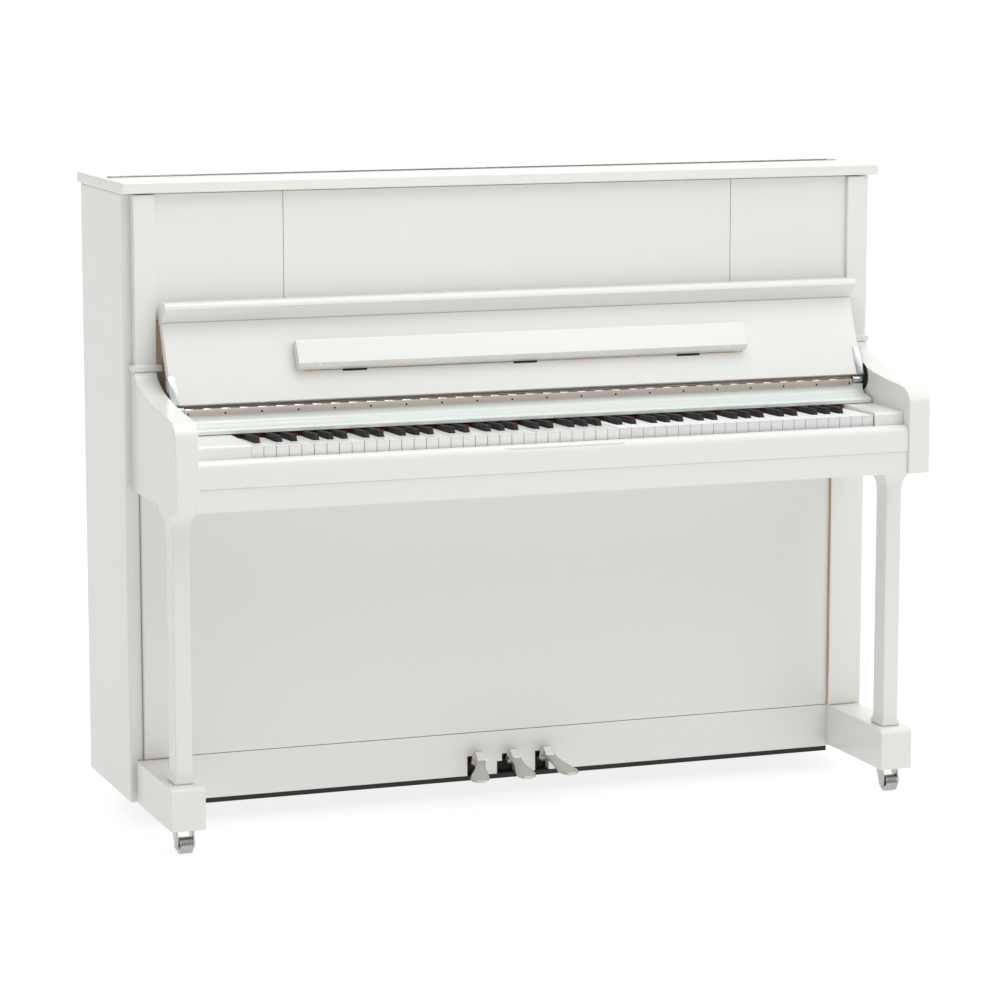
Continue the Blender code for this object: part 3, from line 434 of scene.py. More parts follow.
def extruded(points, start, step):
    """A flat outline pushed along a step."""
    bm = bmesh.new()
    ring = [bm.verts.new(start(p)) for p in points]
    edges = [bm.edges.new(pair) for pair in zip(ring, ring[1:] + ring[:1])]
    face = bmesh.ops.contextual_create(bm, geom=edges)["faces"]
    grown = bmesh.ops.extrude_face_region(bm, geom=face)["geom"]
    moved = [v for v in grown if isinstance(v, bmesh.types.BMVert)]
    bmesh.ops.translate(bm, verts=moved, vec=step)
    bmesh.ops.recalc_face_normals(bm, faces=bm.faces)
    return bm


def profile(points, x0, x1):
    """A case-frame (y, z) outline run along x."""
    return extruded(points, lambda p: (x0, row(p[0]), p[1]), (x1 - x0, 0.0, 0.0))


def plan(points, z0, z1):
    """A case-frame (x, y) outline raised along z."""
    return extruded(points, lambda p: (p[0], row(p[1]), z0), (0.0, 0.0, z1 - z0))


def flowing(points, steps=4):
    """A smooth line through the points, ends kept."""
    fine = []
    ends = [points[0], *points, points[-1]]
    for a, b, c, d in zip(ends, ends[1:], ends[2:], ends[3:]):
        for k in range(steps):
            t = k / steps
            fine.append(tuple(0.5 * (2 * q + (r - p) * t + (2 * p - 5 * q + 4 * r - s) * t * t
                                     + (3 * q - p - 3 * r + s) * t ** 3)
                              for p, q, r, s in zip(a, b, c, d)))
    return [*fine, points[-1]]


def merged(*parts):
    """Several bmeshes as one."""
    whole = bmesh.new()
    for part in parts:
        mesh = bpy.data.meshes.new("part")
        part.to_mesh(mesh)
        part.free()
        whole.from_mesh(mesh)
        bpy.data.meshes.remove(mesh)
    return whole


def cad_copy(node):
    """A CAD node's shape as a clean bmesh: doubles merged, flat faces joined."""
    source = NODES[node].data
    mesh = bpy.data.meshes.new("copy")
    mesh.from_pydata([v.co[:] for v in source.vertices], [], [p.vertices[:] for p in source.polygons])
    bm = bmesh.new()
    bm.from_mesh(mesh)
    bpy.data.meshes.remove(mesh)
    bmesh.ops.remove_doubles(bm, verts=bm.verts, dist=1e-6)
    bmesh.ops.dissolve_limit(bm, angle_limit=math.radians(0.6), verts=bm.verts, edges=bm.edges)
    return bm


def placed(name, data):
    """A new object for a mesh, light or camera, in the scene."""
    thing = bpy.data.objects.new(name, data)
    bpy.context.scene.collection.objects.link(thing)
    return thing


def mesh_of(name, bm):
    """A bmesh as a new mesh."""
    mesh = bpy.data.meshes.new(name)
    bm.to_mesh(mesh)
    bm.free()
    return mesh


def piece(name, bm, finish, body, stands_for=(), smooth=38.0, even=True):
    """Make a bmesh a finished piece of the piano that rides on a body."""
    thing = placed(name, mesh_of(name, bm))
    thing.data.materials.append(material(finish))
    return settle(thing, body, stands_for, smooth, even)


def settle(thing, body, stands_for=(), smooth=38.0, even=True):
    """Shade a piece and hang it on its body."""
    thing.data.shade_smooth()
    thing.data.set_sharp_from_angle(angle=math.radians(smooth))
    if even:
        mod = thing.modifiers.new("even_shading", "WEIGHTED_NORMAL")
        mod.keep_sharp = True
    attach(thing, body)
    if stands_for:
        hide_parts(*stands_for)
    return thing


def up_board(s, n):
    """Case-frame (y, z) of a point s up the fallboard from its pin and n off its face."""
    return PIN_Y + math.sin(LEAN) * s - math.cos(LEAN) * n, PIN_Z + math.cos(LEAN) * s + math.sin(LEAN) * n


def board_strip(up, off, x0, x1):
    """A strip from its spans up the fallboard and off its face, run along x."""
    corners = ((up[0], off[0]), (up[0], off[1]), (up[1], off[1]), (up[1], off[0]))
    return profile([up_board(s, n) for s, n in corners], x0, x1)


# ---- geometry nodes --------------------------------------------------------------------------------------
def new_tree(name, sockets):
    """An empty Geometry Nodes tree with named inputs and one geometry output."""
    tree = bpy.data.node_groups.new(name, "GeometryNodeTree")
    for label, kind in (("Geometry", "Geometry"), *sockets):
        tree.interface.new_socket(name=label, in_out="INPUT", socket_type=f"NodeSocket{kind}")
    tree.interface.new_socket(name="Geometry", in_out="OUTPUT", socket_type="NodeSocketGeometry")
    return tree, tree.nodes.new("NodeGroupInput"), tree.nodes.new("NodeGroupOutput")


def add(tree, kind, **inputs):
    """A node with its inputs linked to sockets or set to values."""
    node = tree.nodes.new(kind)
    for label, value in inputs.items():
        socket = node.inputs[label.replace("_", " ")]
        if isinstance(value, bpy.types.NodeSocket):
            tree.links.new(value, socket)
        else:
            socket.default_value = value
    return node


def close_tree(tree, instances, given, end):
    """Realize the instances, give them their material and send them out."""
    real = add(tree, "GeometryNodeRealizeInstances", Geometry=instances)
    done = add(tree, "GeometryNodeSetMaterial", Geometry=real.outputs["Geometry"],
               Material=given.outputs["Material"])
    tree.links.new(done.outputs["Geometry"], end.inputs["Geometry"])


def row_tree():
    """Shapes in a straight row: Shape, Count, Start, Step, Material."""
    tree, given, end = new_tree("shapes_in_a_row", (
        ("Shape", "Object"), ("Count", "Int"), ("Start", "Vector"), ("Step", "Vector"),
        ("Material", "Material")))
    line = add(tree, "GeometryNodeMeshLine", Count=given.outputs["Count"],
               Start_Location=given.outputs["Start"], Offset=given.outputs["Step"])
    shape = add(tree, "GeometryNodeObjectInfo", Object=given.outputs["Shape"])
    spread = add(tree, "GeometryNodeInstanceOnPoints", Points=line.outputs["Mesh"],
                 Instance=shape.outputs["Geometry"])
    close_tree(tree, spread.outputs["Instances"], given, end)
    return tree


def spot_tree():
    """Shapes on the vertices of the object itself: Shape, Material."""
    tree, given, end = new_tree("shapes_on_spots", (("Shape", "Object"), ("Material", "Material")))
    shape = add(tree, "GeometryNodeObjectInfo", Object=given.outputs["Shape"])
    spread = add(tree, "GeometryNodeInstanceOnPoints", Points=given.outputs["Geometry"],
                 Instance=shape.outputs["Geometry"])
    close_tree(tree, spread.outputs["Instances"], given, end)
    return tree


def grown(name, tree, shape_bm, finish, spots=(), **values):
    """Run a tree on a new object and return the result as a plain mesh object."""
    shape = placed(f"{name}_shape", mesh_of(f"{name}_shape", shape_bm))
    mesh = bpy.data.meshes.new(f"{name}_spots")
    mesh.from_pydata([tuple(s) for s in spots], [], [])
    maker = placed(f"{name}_maker", mesh)
    mod = maker.modifiers.new("repeat", "NODES")
    mod.node_group = tree
    given = {"Shape": shape, "Material": material(finish), **values}
    for item in tree.interface.items_tree:
        if item.in_out == "INPUT" and item.name in given:
            mod[item.identifier] = given[item.name]
    bpy.context.view_layer.update()
    made = bpy.data.meshes.new_from_object(maker.evaluated_get(bpy.context.evaluated_depsgraph_get()))
    made.name = name
    bpy.data.objects.remove(maker, do_unlink=True)
    bpy.data.objects.remove(shape, do_unlink=True)
    return placed(name, made)


def in_row(name, shape_bm, finish, count, start, step, body):
    """A row of one shape, as a piece."""
    tree = bpy.data.node_groups.get("shapes_in_a_row") or row_tree()
    thing = grown(name, tree, shape_bm, finish, Count=count, Start=start, Step=step)
    return settle(thing, body, even=False)


def on_spots(name, shape_bm, finish, spots, body, stands_for=(), even=False):
    """One shape on each spot, as a piece."""
    tree = bpy.data.node_groups.get("shapes_on_spots") or spot_tree()
    thing = grown(name, tree, shape_bm, finish, spots=spots)
    return settle(thing, body, stands_for, even=even)


def joined(things, name):
    """Several plain mesh objects of one material as one, before any of them rides."""
    whole = bmesh.new()
    for thing in things:
        whole.from_mesh(thing.data)
    mesh = mesh_of(name, whole)
    mesh.materials.append(things[0].data.materials[0])
    for thing in things:
        bpy.data.objects.remove(thing, do_unlink=True)
    return placed(name, mesh)


def screw_head(radius, high):
    """A domed screw head with a raised cross on it, facing -Y."""
    bm = rod(radius, high, "Z", 16)
    top = [v for v in bm.verts if v.co.z > 0.0]
    bmesh.ops.scale(bm, verts=top, vec=(0.72, 0.72, 1.0))
    arm, deep = radius * 0.62, radius * 0.17
    cross = [(-arm, -deep), (-deep, -deep), (-deep, -arm), (deep, -arm), (deep, -deep), (arm, -deep),
             (arm, deep), (deep, deep), (deep, arm), (-deep, arm), (-deep, deep), (-arm, deep)]
    face = high * 0.5 - high * 0.02
    whole = merged(bm, extruded(cross, lambda p: (p[0], p[1], face), (0.0, 0.0, high * 0.04)))
    bmesh.ops.rotate(whole, verts=whole.verts, matrix=Matrix.Rotation(math.radians(90.0), 3, "X"))
    return whole


# ---- keys --------------------------------------------------------------------------------------------------
def tipped(bm):
    """Tip a key drawn level about its front top edge."""
    pivot = Vector((0.0, row(KEY_FRONT), KEY_TOP))
    bmesh.ops.rotate(bm, verts=bm.verts, cent=pivot, matrix=Matrix.Rotation(-KEY_SLOPE, 3, "X"))
    return bm


def sharp_after(index):
    """Centre of the black key after a white key, or None."""
    note = NOTES[index % 7]
    if note not in SHARP_SHIFT or not 0 <= index < WHITE_COUNT - 1:
        return None
    return KEYS_LEFT + (index + 1) * PITCH + SHARP_SHIFT[note]


def white_plan(index, slit, inset, tail):
    """Outline of one white key about its own middle, notched beside its black keys."""
    middle = KEYS_LEFT + (index + 0.5) * PITCH
    half = PITCH / 2 - slit / 2 - inset
    left, right = sharp_after(index - 1), sharp_after(index)
    room = NOTCH_HALF + NOTCH_CLEAR + inset
    back0 = -half if left is None else max(-half, left - middle + room)
    back1 = half if right is None else min(half, right - middle - room)
    front, notch = KEY_FRONT + inset, SHARP_FRONT - NOTCH_AHEAD
    points = [(-half, front), (half, front)]
    if back1 < half:
        points += [(half, notch), (back1, notch)]
    points += [(back1, tail), (back0, tail)]
    if back0 > -half:
        points += [(back0, notch), (-half, notch)]
    return points


def white_cover(index, sizes):
    """Covering of one white key: top plate with a rounded lip and a front plate."""
    thick = sizes.cover_thick
    points = white_plan(index, sizes.key_slit, 0.0, COVER_BACK)
    top = rounded(plan(points, KEY_TOP - thick, KEY_TOP), COVER_ROUND, 2)
    half = PITCH / 2 - sizes.key_slit / 2
    front = bar((-half, half), (KEY_FRONT + PLATE_FRONT, KEY_FRONT + PLATE_BACK), (KEY_FOOT, KEY_TOP - thick),
                0.0002, 1)
    return tipped(merged(top, front))


def white_stick(index, sizes):
    """Wooden body of one white key under its covering."""
    points = white_plan(index, sizes.key_slit, -STICK_PROUD, KEY_TAIL - STICK_SHORT)
    points = [(x, max(y, KEY_FRONT + STICK_FRONT)) for x, y in points]
    return tipped(plan(points, KEY_FOOT + STICK_LIFT, KEY_TOP - sizes.cover_thick - CLEAR))


def sharp_cap(sizes):
    """One black key about x = 0: sloped rounded front, rounded top, drawn-in sides."""
    half, low, high = sizes.sharp_wide / 2, KEY_TOP - SHARP_SINK, SHARP_TOP
    top, nose = half - SHARP_DRAFT, SHARP_FRONT + SHARP_RAKE
    foot = [(-half, SHARP_FRONT, low), (half, SHARP_FRONT, low), (half, SHARP_TAIL, low),
            (-half, SHARP_TAIL, low)]
    head = [(-top, nose, high), (top, nose, high), (top, SHARP_TAIL, high - SHARP_FALL),
            (-top, SHARP_TAIL, high - SHARP_FALL)]
    bm = bmesh.new()
    lower = [bm.verts.new((x, row(y), z)) for x, y, z in foot]
    upper = [bm.verts.new((x, row(y), z)) for x, y, z in head]
    for k in range(4):
        bm.faces.new((lower[k], lower[(k + 1) % 4], upper[(k + 1) % 4], upper[k]))
    bm.faces.new(upper)
    bm.faces.new(list(reversed(lower)))
    bmesh.ops.recalc_face_normals(bm, faces=bm.faces)
    return tipped(rounded(bm, 0.0009, 3, 50.0))


def sharp_stick(sizes):
    """Wooden body under one black key."""
    half = sizes.sharp_wide / 2 - SHARP_NARROW
    return tipped(bar((-half, half), (SHARP_FRONT + SHARP_BACKSET, KEY_TAIL - STICK_SHORT),
                      (KEY_FOOT + STICK_LIFT, KEY_TOP - SHARP_SINK - CLEAR)))


# ---- operators ---------------------------------------------------------------------------------------------
class PIANO_OT_finishes(Operator):
    """Make every material and put the plain ones on the CAD nodes that stay in view"""

    bl_idname = "piano.finishes"
    bl_label = "Finishes"

    def execute(self, context):
        make_finishes(context.scene.piano_finish)
        slots = {s["node"]: s["material_slot"] for s in frame["record"]["subparts"]}
        for name, node in NODES.items():
            for held in node.material_slots:
                held.material = material(slots[name])
        return {"FINISHED"}


class PIANO_OT_white_keys(Operator):
    """Coverings and wooden bodies of the white keys"""

    bl_idname = "piano.white_keys"
    bl_label = "White keys"

    def execute(self, context):
        sizes = context.scene.piano_sizes
        for side in KEY_RUNS:
            self.run(side, f"white_coverings_{side}", white_cover, "ivory", sizes, (f"white_keys_{side}",))
            self.run(side, f"white_sticks_{side}", white_stick, "key_wood", sizes, ())
        for index in OCTAVE:
            node = f"key_{NOTES[index % 7]}4"
            spot = [(KEYS_LEFT + (index + 0.5) * PITCH, 0.0, 0.0)]
            on_spots(f"{node}_covering", white_cover(index, sizes), "ivory", spot, node, (node,),
                     even=True)
            on_spots(f"{node}_stick", white_stick(index, sizes), "key_wood", spot, node)
        return {"FINISHED"}

    @staticmethod
    def run(side, name, make, finish, sizes, stands_for):
        """One note letter at a time, its shape on all its places in the run; the end keys on their own."""
        tree = bpy.data.node_groups.get("shapes_on_spots") or spot_tree()
        first, count = KEY_RUNS[side]
        groups = {}
        for index in range(first, first + count):
            alone = index in (0, WHITE_COUNT - 1)
            groups.setdefault((NOTES[index % 7], alone), []).append(index)
        parts = []
        for number, indices in enumerate(groups.values()):
            spots = [(KEYS_LEFT + (k + 0.5) * PITCH, 0.0, 0.0) for k in indices]
            parts.append(grown(f"{name}_{number}", tree, make(indices[0], sizes), finish, spots=spots))
        settle(joined(parts, name), f"keys_{side}", stands_for, even=bool(stands_for))


class PIANO_OT_black_keys(Operator):
    """Caps and wooden bodies of the black keys"""

    bl_idname = "piano.black_keys"
    bl_label = "Black keys"

    def execute(self, context):
        sizes = context.scene.piano_sizes
        for side, (first, count) in KEY_RUNS.items():
            centres = [sharp_after(k) for k in range(first, first + count - 1)]
            spots = [(c, 0.0, 0.0) for c in centres if c is not None]
            body = f"keys_{side}"
            on_spots(f"black_caps_{side}", sharp_cap(sizes), "ebony", spots, body,
                     (f"black_keys_{side}",), even=True)
            on_spots(f"black_sticks_{side}", sharp_stick(sizes), "key_wood", spots, body)
        for index in OCTAVE:
            centre = sharp_after(index)
            if centre is None:
                continue
            node = f"key_{NOTES[index % 7]}_sharp4"
            spot = [(centre, 0.0, 0.0)]
            on_spots(f"{node}_cap", sharp_cap(sizes), "ebony", spot, node, (node,), even=True)
            on_spots(f"{node}_stick", sharp_stick(sizes), "key_wood", spot, node)
        return {"FINISHED"}


class PIANO_OT_key_surround(Operator):
    """Red felt behind the keys, felt on the rails, wooden cheeks beside the fallboard"""

    bl_idname = "piano.key_surround"
    bl_label = "Key surround"

    def execute(self, context):
        piece("key_felt", bar(*KEY_FELT, 0.0004, 1), "red_felt", "case")
        piece("balance_felt", bar(*BALANCE_FELT, 0.0003, 1), "red_felt", "case")
        for side, sign in SIDES:
            for name, (across, deep, high, bevel, finish) in SIDE_STRIPS.items():
                strip = bar(mirrored(across, sign), deep, high, bevel, 1)
                piece(f"{name}_{side}", strip, finish, "case")
        lid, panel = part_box("lid_front"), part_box("upper_panel")
        rest = bar(LID_REST_X, LID_REST_Y, (panel[1].z - LID_REST_SINK, lid[0].z - LID_REST_CLEAR))
        piece("lid_rest", rest, "raw_wood", "case")
        return {"FINISHED"}


class PIANO_OT_case(Operator):
    """Arms, pilasters, legs, toe blocks, slip, blocks, boards and desk with evenly polished edges"""

    bl_idname = "piano.case"
    bl_label = "Case"

    def execute(self, context):
        arm = [(ARM_BACK, ARM_FOOT), (ARM_BACK, ARM_TOP[0][1]), *flowing(ARM_TOP, 5),
               (ARM_TOP[-1][0], ARM_FOOT)]
        for side, _ in SIDES:
            low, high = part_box(f"arm_{side}")
            piece(f"arm_shell_{side}", rounded(profile(arm, low.x, high.x), 0.0030, 3, 50.0), "lacquer", "case",
                  (f"arm_{side}",), smooth=45.0)
        back = NAME_COVE[-1][0] + NAME_BOARD_THICK
        board = [NAME_COVE[0], *flowing(NAME_COVE[1:-1], 4), NAME_COVE[-1], (back, NAME_COVE[-1][1]),
                 (back, NAME_COVE[0][1])]
        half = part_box("name_board")[1].x
        # the cove's green tint is a painted reflection of the surroundings
        piece("name_board_face", profile(board, -half, half), "cove_lacquer_painted_reflection", "case",
              ("name_board",), smooth=50.0)
        for node, body in LACQUERED.items():
            piece(f"{node}_shell", cad_copy(node), "lacquer", body, (node,), smooth=44.0)
        return {"FINISHED"}


class PIANO_OT_hinges(Operator):
    """Knuckles, leaves and screws of the fallboard's long hinge and of the lid's hinge"""

    bl_idname = "piano.hinges"
    bl_label = "Long hinges"

    def execute(self, context):
        sizes = context.scene.piano_sizes
        long, half = sizes.knuckle, HINGE_HALF
        count = int(half * 2 / long / 2)
        for name, first, finish, body in (("fixed", long / 2, "nickel", "case"),
                                          ("moving", long * 1.5, "bronzed_metal", "fallboard")):
            in_row(f"hinge_knuckles_{name}", rod(KNUCKLE_R, long - KNUCKLE_GAP, "X", 16, 0.0002), finish, count,
                   (-half + first, row(PIN_Y), PIN_Z), (long * 2, 0.0, 0.0), body)
        leaf = bar((-half, half), (LEAF_Y - LEAF_THICK, LEAF_Y), (LEAF_FOOT, PIN_Z - LEAF_DROP), 0.0002, 1)
        piece("hinge_leaf_fixed", leaf, "hinge_metal", "case")
        piece("hinge_leaf_moving", board_strip(WING_S, WING_N, -half, half), "bronzed_metal", "fallboard")
        screws = int(half * 2 / sizes.screw_pitch) + 1
        start = -(screws - 1) / 2 * sizes.screw_pitch
        in_row("hinge_screws", screw_head(sizes.screw_radius, SCREW_HIGH), "dark_metal", screws,
               (start, row(LEAF_Y - SCREW_HIGH), SCREW_Z), (sizes.screw_pitch, 0.0, 0.0), "case")
        low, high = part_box("lid_hinge")
        middle, step = (low + high) / 2, LID_KNUCKLE_PITCH
        in_row("lid_knuckles", rod(LID_KNUCKLE_R, step - LID_KNUCKLE_GAP, "X", 12, 0.0002), "hinge_metal",
               int((high.x - low.x) / step), (low.x + step / 2, middle.y, middle.z), (step, 0.0, 0.0), "case")
        return {"FINISHED"}


class PIANO_OT_brackets(Operator):
    """Fallboard's end brackets, their pivots and a black disc of painted shade for the recess in each arm"""

    bl_idname = "piano.brackets"
    bl_label = "End brackets"

    def execute(self, context):
        for side, sign in SIDES:
            bracket = f"fallboard_bracket_{side}"
            piece(f"bracket_plate_{side}", rounded(cad_copy(bracket), 0.0005, 2, 50.0), "bracket_steel",
                  "fallboard", (bracket,), even=False)
            # black disc: painted shade where the arm's pivot recess is
            recess = self.disc(RECESS_AT, sign, rod(RECESS_R, RECESS_THICK, "X", 40, 0.0002))
            piece(f"pivot_recess_{side}", recess, "black_paint", "case")
            boss = self.disc(BOSS_AT, sign, rod(BOSS_R, BOSS_THICK, "X", 28, 0.0003))
            piece(f"pivot_boss_{side}", boss, "nickel", "case")
        return {"FINISHED"}

    @staticmethod
    def disc(at, sign, bm):
        """Set a disc on the inner face of an arm."""
        bmesh.ops.translate(bm, verts=bm.verts, vec=(sign * at[0], row(at[1]), at[2]))
        return bm


class PIANO_OT_desk(Operator):
    """Hinge plates under the music desk and its bumper buttons"""

    bl_idname = "piano.desk"
    bl_label = "Desk fittings"

    def execute(self, context):
        face = BOARD_FACE + CLEAR
        for name, x in DESK_HINGES.items():
            plate = board_strip(DESK_HINGE_S, (face, face + DESK_HINGE_THICK), x - DESK_HINGE_HALF,
                                x + DESK_HINGE_HALF)
            piece(f"desk_hinge_{name}", plate, "dark_metal", "fallboard")
        rest = board_strip(DESK_REST_S, (face, face + DESK_REST_THICK), -DESK_REST_HALF, DESK_REST_HALF)
        piece("desk_rest", rest, "raw_wood", "fallboard")
        y, z = up_board(BUMPER_S, BUMPER_N)
        for side, sign in SIDES:
            dot = rod(BUMPER_R, BUMPER_THICK, "Z", 18, 0.0006)
            bmesh.ops.rotate(dot, verts=dot.verts, matrix=Matrix.Rotation(LEAN + BUMPER_TILT, 3, "X"))
            bmesh.ops.translate(dot, verts=dot.verts, vec=(sign * BUMPER_X, row(y), z))
            piece(f"desk_bumper_{side}", dot, "ivory", "music_desk")
        return {"FINISHED"}


class PIANO_OT_pedals(Operator):
    """Pedals rounded from their CAD shape, with felt round each slot"""

    bl_idname = "piano.pedals"
    bl_label = "Pedals"

    def execute(self, context):
        for side, x in PEDAL_X.items():
            node = f"pedal_{side}"
            piece(f"{node}_cast", rounded(cad_copy(node), 0.0009, 2, 35.0), "pedal_metal", node,
                  (node,), smooth=50.0)
            # the pad on each pedal's top: polished, and lighter in colour as a painted highlight
            pad = rounded(profile(PAD_SLOPE, x - PAD_HALF, x + PAD_HALF), 0.0005, 2)
            piece(f"{node}_pad", pad, "pad_metal_painted_highlight", node)
        low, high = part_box("toe_rail")
        for side, x in PEDAL_X.items():
            felt = block(x - SLOT_FELT_HALF, x + SLOT_FELT_HALF, low.y + SLOT_FELT_INSET,
                         high.y - SLOT_FELT_INSET, *SLOT_FELT_Z, 0.0003, 1)
            piece(f"slot_felt_{side}", felt, "red_felt", "case")
        shadow = block(-SHADOW_HALF, SHADOW_HALF, high.y + SHADOW_Y[0], high.y + SHADOW_Y[1], low.z + 0.001,
                       SHADOW_TOP)
        piece("slot_shadow", shadow, "black_paint", "case")
        return {"FINISHED"}


class PIANO_OT_casters(Operator):
    """Ridged rollers and rounded forks of the casters"""

    bl_idname = "piano.casters"
    bl_label = "Casters"

    def execute(self, context):
        ridges = context.scene.piano_sizes.roller_ridges
        for end in ("front", "rear"):
            for side, _ in SIDES:
                fork = f"caster_fork_{end}_{side}"
                plated = rounded(cad_copy(fork), 0.0007, 2, 50.0)
                piece(f"{fork}_plated", plated, "caster_metal", fork, (fork,), even=False)
                self.roller(f"caster_wheel_{end}_{side}", ridges)
        return {"FINISHED"}

    @staticmethod
    def roller(node, ridges):
        """Roller turned from a ridged profile round its axle."""
        low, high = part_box(node)
        centre = (low + high) / 2
        radius, half = (high.z - low.z) / 2, (high.x - low.x) / 2
        steps = ridges * 4
        outline = [(-half, AXLE_BORE)]
        for k in range(steps + 1):
            wave = 0.5 - 0.5 * math.cos(2 * math.pi * k * ridges / steps)
            dip = RIDGE_DEEP * wave if 0 < k < steps else RIM_DROP
            outline.append((-half + 2 * half * k / steps, radius - dip))
        outline.append((half, AXLE_BORE))
        bm = bmesh.new()
        ring = [bm.verts.new((centre.x + x, centre.y, centre.z + r)) for x, r in outline]
        edges = [bm.edges.new(pair) for pair in zip(ring, ring[1:] + ring[:1])]
        bmesh.ops.spin(bm, geom=[*ring, *edges], cent=centre, axis=(1.0, 0.0, 0.0), angle=math.tau,
                       steps=ROLLER_STEPS, use_duplicate=False)
        bmesh.ops.remove_doubles(bm, verts=bm.verts, dist=1e-6)
        bmesh.ops.recalc_face_normals(bm, faces=bm.faces)
        piece(f"{node}_turned", bm, "caster_metal", node, (node,), even=False)


class PIANO_OT_back(Operator):
    """Slanting ribs on the back of the soundboard, seen between the posts"""

    bl_idname = "piano.back"
    bl_label = "Back"

    def execute(self, context):
        y0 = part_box("soundboard")[1].y + CLEAR
        frame_low, frame_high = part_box("back_frame")
        low = frame_low.z + BEAM_HIGH
        high = frame_high.z - BEAM_HIGH - RIB_RISE - RIB_THICK
        fits = min(context.scene.piano_sizes.rib_count, int((high - low) / RIB_PITCH) + 1)
        for bay, x in enumerate(BAY_X, 1):
            left, right = x - RIB_WIDE / 2, x + RIB_WIDE / 2
            outline = [(left, 0.0), (right, RIB_RISE), (right, RIB_RISE + RIB_THICK), (left, RIB_THICK)]
            rib = extruded(outline, lambda p: (p[0], y0, p[1]), (0.0, RIB_DEEP, 0.0))
            in_row(f"soundboard_ribs_{bay}", rounded(rib, 0.002, 2), "spruce", fits, (0.0, 0.0, low),
                   (0.0, 0.0, RIB_PITCH), "case")
        return {"FINISHED"}


class PIANO_OT_action(Operator):
    """Hammers, dampers, strings and tuning pins, seen when the lid is up"""

    bl_idname = "piano.action"
    bl_label = "Action"

    def execute(self, context):
        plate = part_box("iron_plate")[0].y
        first = -(NOTE_COUNT - 1) / 2 * NOTE_STEP
        treble, damped = first + BASS_NOTES * NOTE_STEP, NOTE_COUNT - UNDAMPED_NOTES
        string_y = plate - STRING_OFF
        for name, shape, finish, count, start, slot in (
                ("hammer_heads", self.hammer(), "white_felt", NOTE_COUNT,
                 (first, plate - 0.052, 1.030), "beech"),
                ("hammer_shanks", rod(0.0028, 0.120, "Z", 8), "hornbeam", NOTE_COUNT,
                 (first, plate - 0.064, 0.968), "beech"),
                ("damper_felts", block(-0.0045, 0.0045, -0.004, 0.004, -0.020, 0.020, 0.001, 1), "red_felt",
                 damped, (first, plate - 0.0090, 0.960), "black_paint"),
                ("damper_wires", rod(0.0009, 0.100, "Z", 6), "string_steel", damped,
                 (first, plate - 0.0140, 0.908), "nickel"),
                ("treble_strings", rod(0.0005, STRING_LONG, "Z", 5), "string_steel", NOTE_COUNT - BASS_NOTES,
                 (treble, string_y, STRING_Z), "nickel"),
                ("bass_strings", rod(0.0011, STRING_LONG, "Z", 6), "wound_copper", BASS_NOTES,
                 (first, string_y, STRING_Z), "nickel")):
            in_row(name, shape, finish, count, start, (NOTE_STEP, 0.0, 0.0), "case")
        pins = [(first + k * NOTE_STEP * 0.5 + (r % 2) * PIN_STAGGER, plate - PIN_OFF,
                 PIN_FOOT_Z + PIN_ROW_RISE * r)
                for r in range(PIN_ROWS) for k in range(2 * NOTE_COUNT - 1)]
        on_spots("tuning_pins", rod(0.0034, 0.022, "Y", 8), "string_steel", pins, "case")
        rail = block(-RAIL_HALF, RAIL_HALF, plate - 0.080, plate - 0.052, 0.900, 0.922, 0.002)
        piece("action_rail", rail, "hornbeam", "case")
        rest = block(-RAIL_HALF, RAIL_HALF, plate - 0.094, plate - 0.074, 1.000, 1.016, 0.003)
        piece("hammer_rest", rest, "red_felt", "case")
        in_row("action_brackets", self.bracket(plate), "gilt_iron", BRACKET_COUNT, (BRACKET_FIRST, 0.0, 0.0),
               (BRACKET_STEP, 0.0, 0.0), "case")
        return {"FINISHED"}

    @staticmethod
    def hammer():
        """Egg-shaped felt head pointing at the strings."""
        bm = bmesh.new()
        bmesh.ops.create_uvsphere(bm, u_segments=8, v_segments=6, radius=1.0)
        for v in bm.verts:
            v.co = (v.co.x * 0.0048, v.co.y * 0.021 + 0.004 * v.co.z * v.co.z, v.co.z * 0.0125)
        bmesh.ops.recalc_face_normals(bm, faces=bm.faces)
        return bm

    @staticmethod
    def bracket(plate):
        """Cast bracket from the plate out to the rails."""
        outline = [(plate - 0.0005, 0.880), (plate - 0.0005, 0.930), (plate - 0.050, 0.926),
                   (plate - 0.074, 1.000), (plate - 0.088, 1.000), (plate - 0.084, 0.896),
                   (plate - 0.050, 0.890)]
        return rounded(extruded(outline, lambda p: (-0.004, p[0], p[1]), (0.008, 0.0, 0.0)), 0.0015, 1)


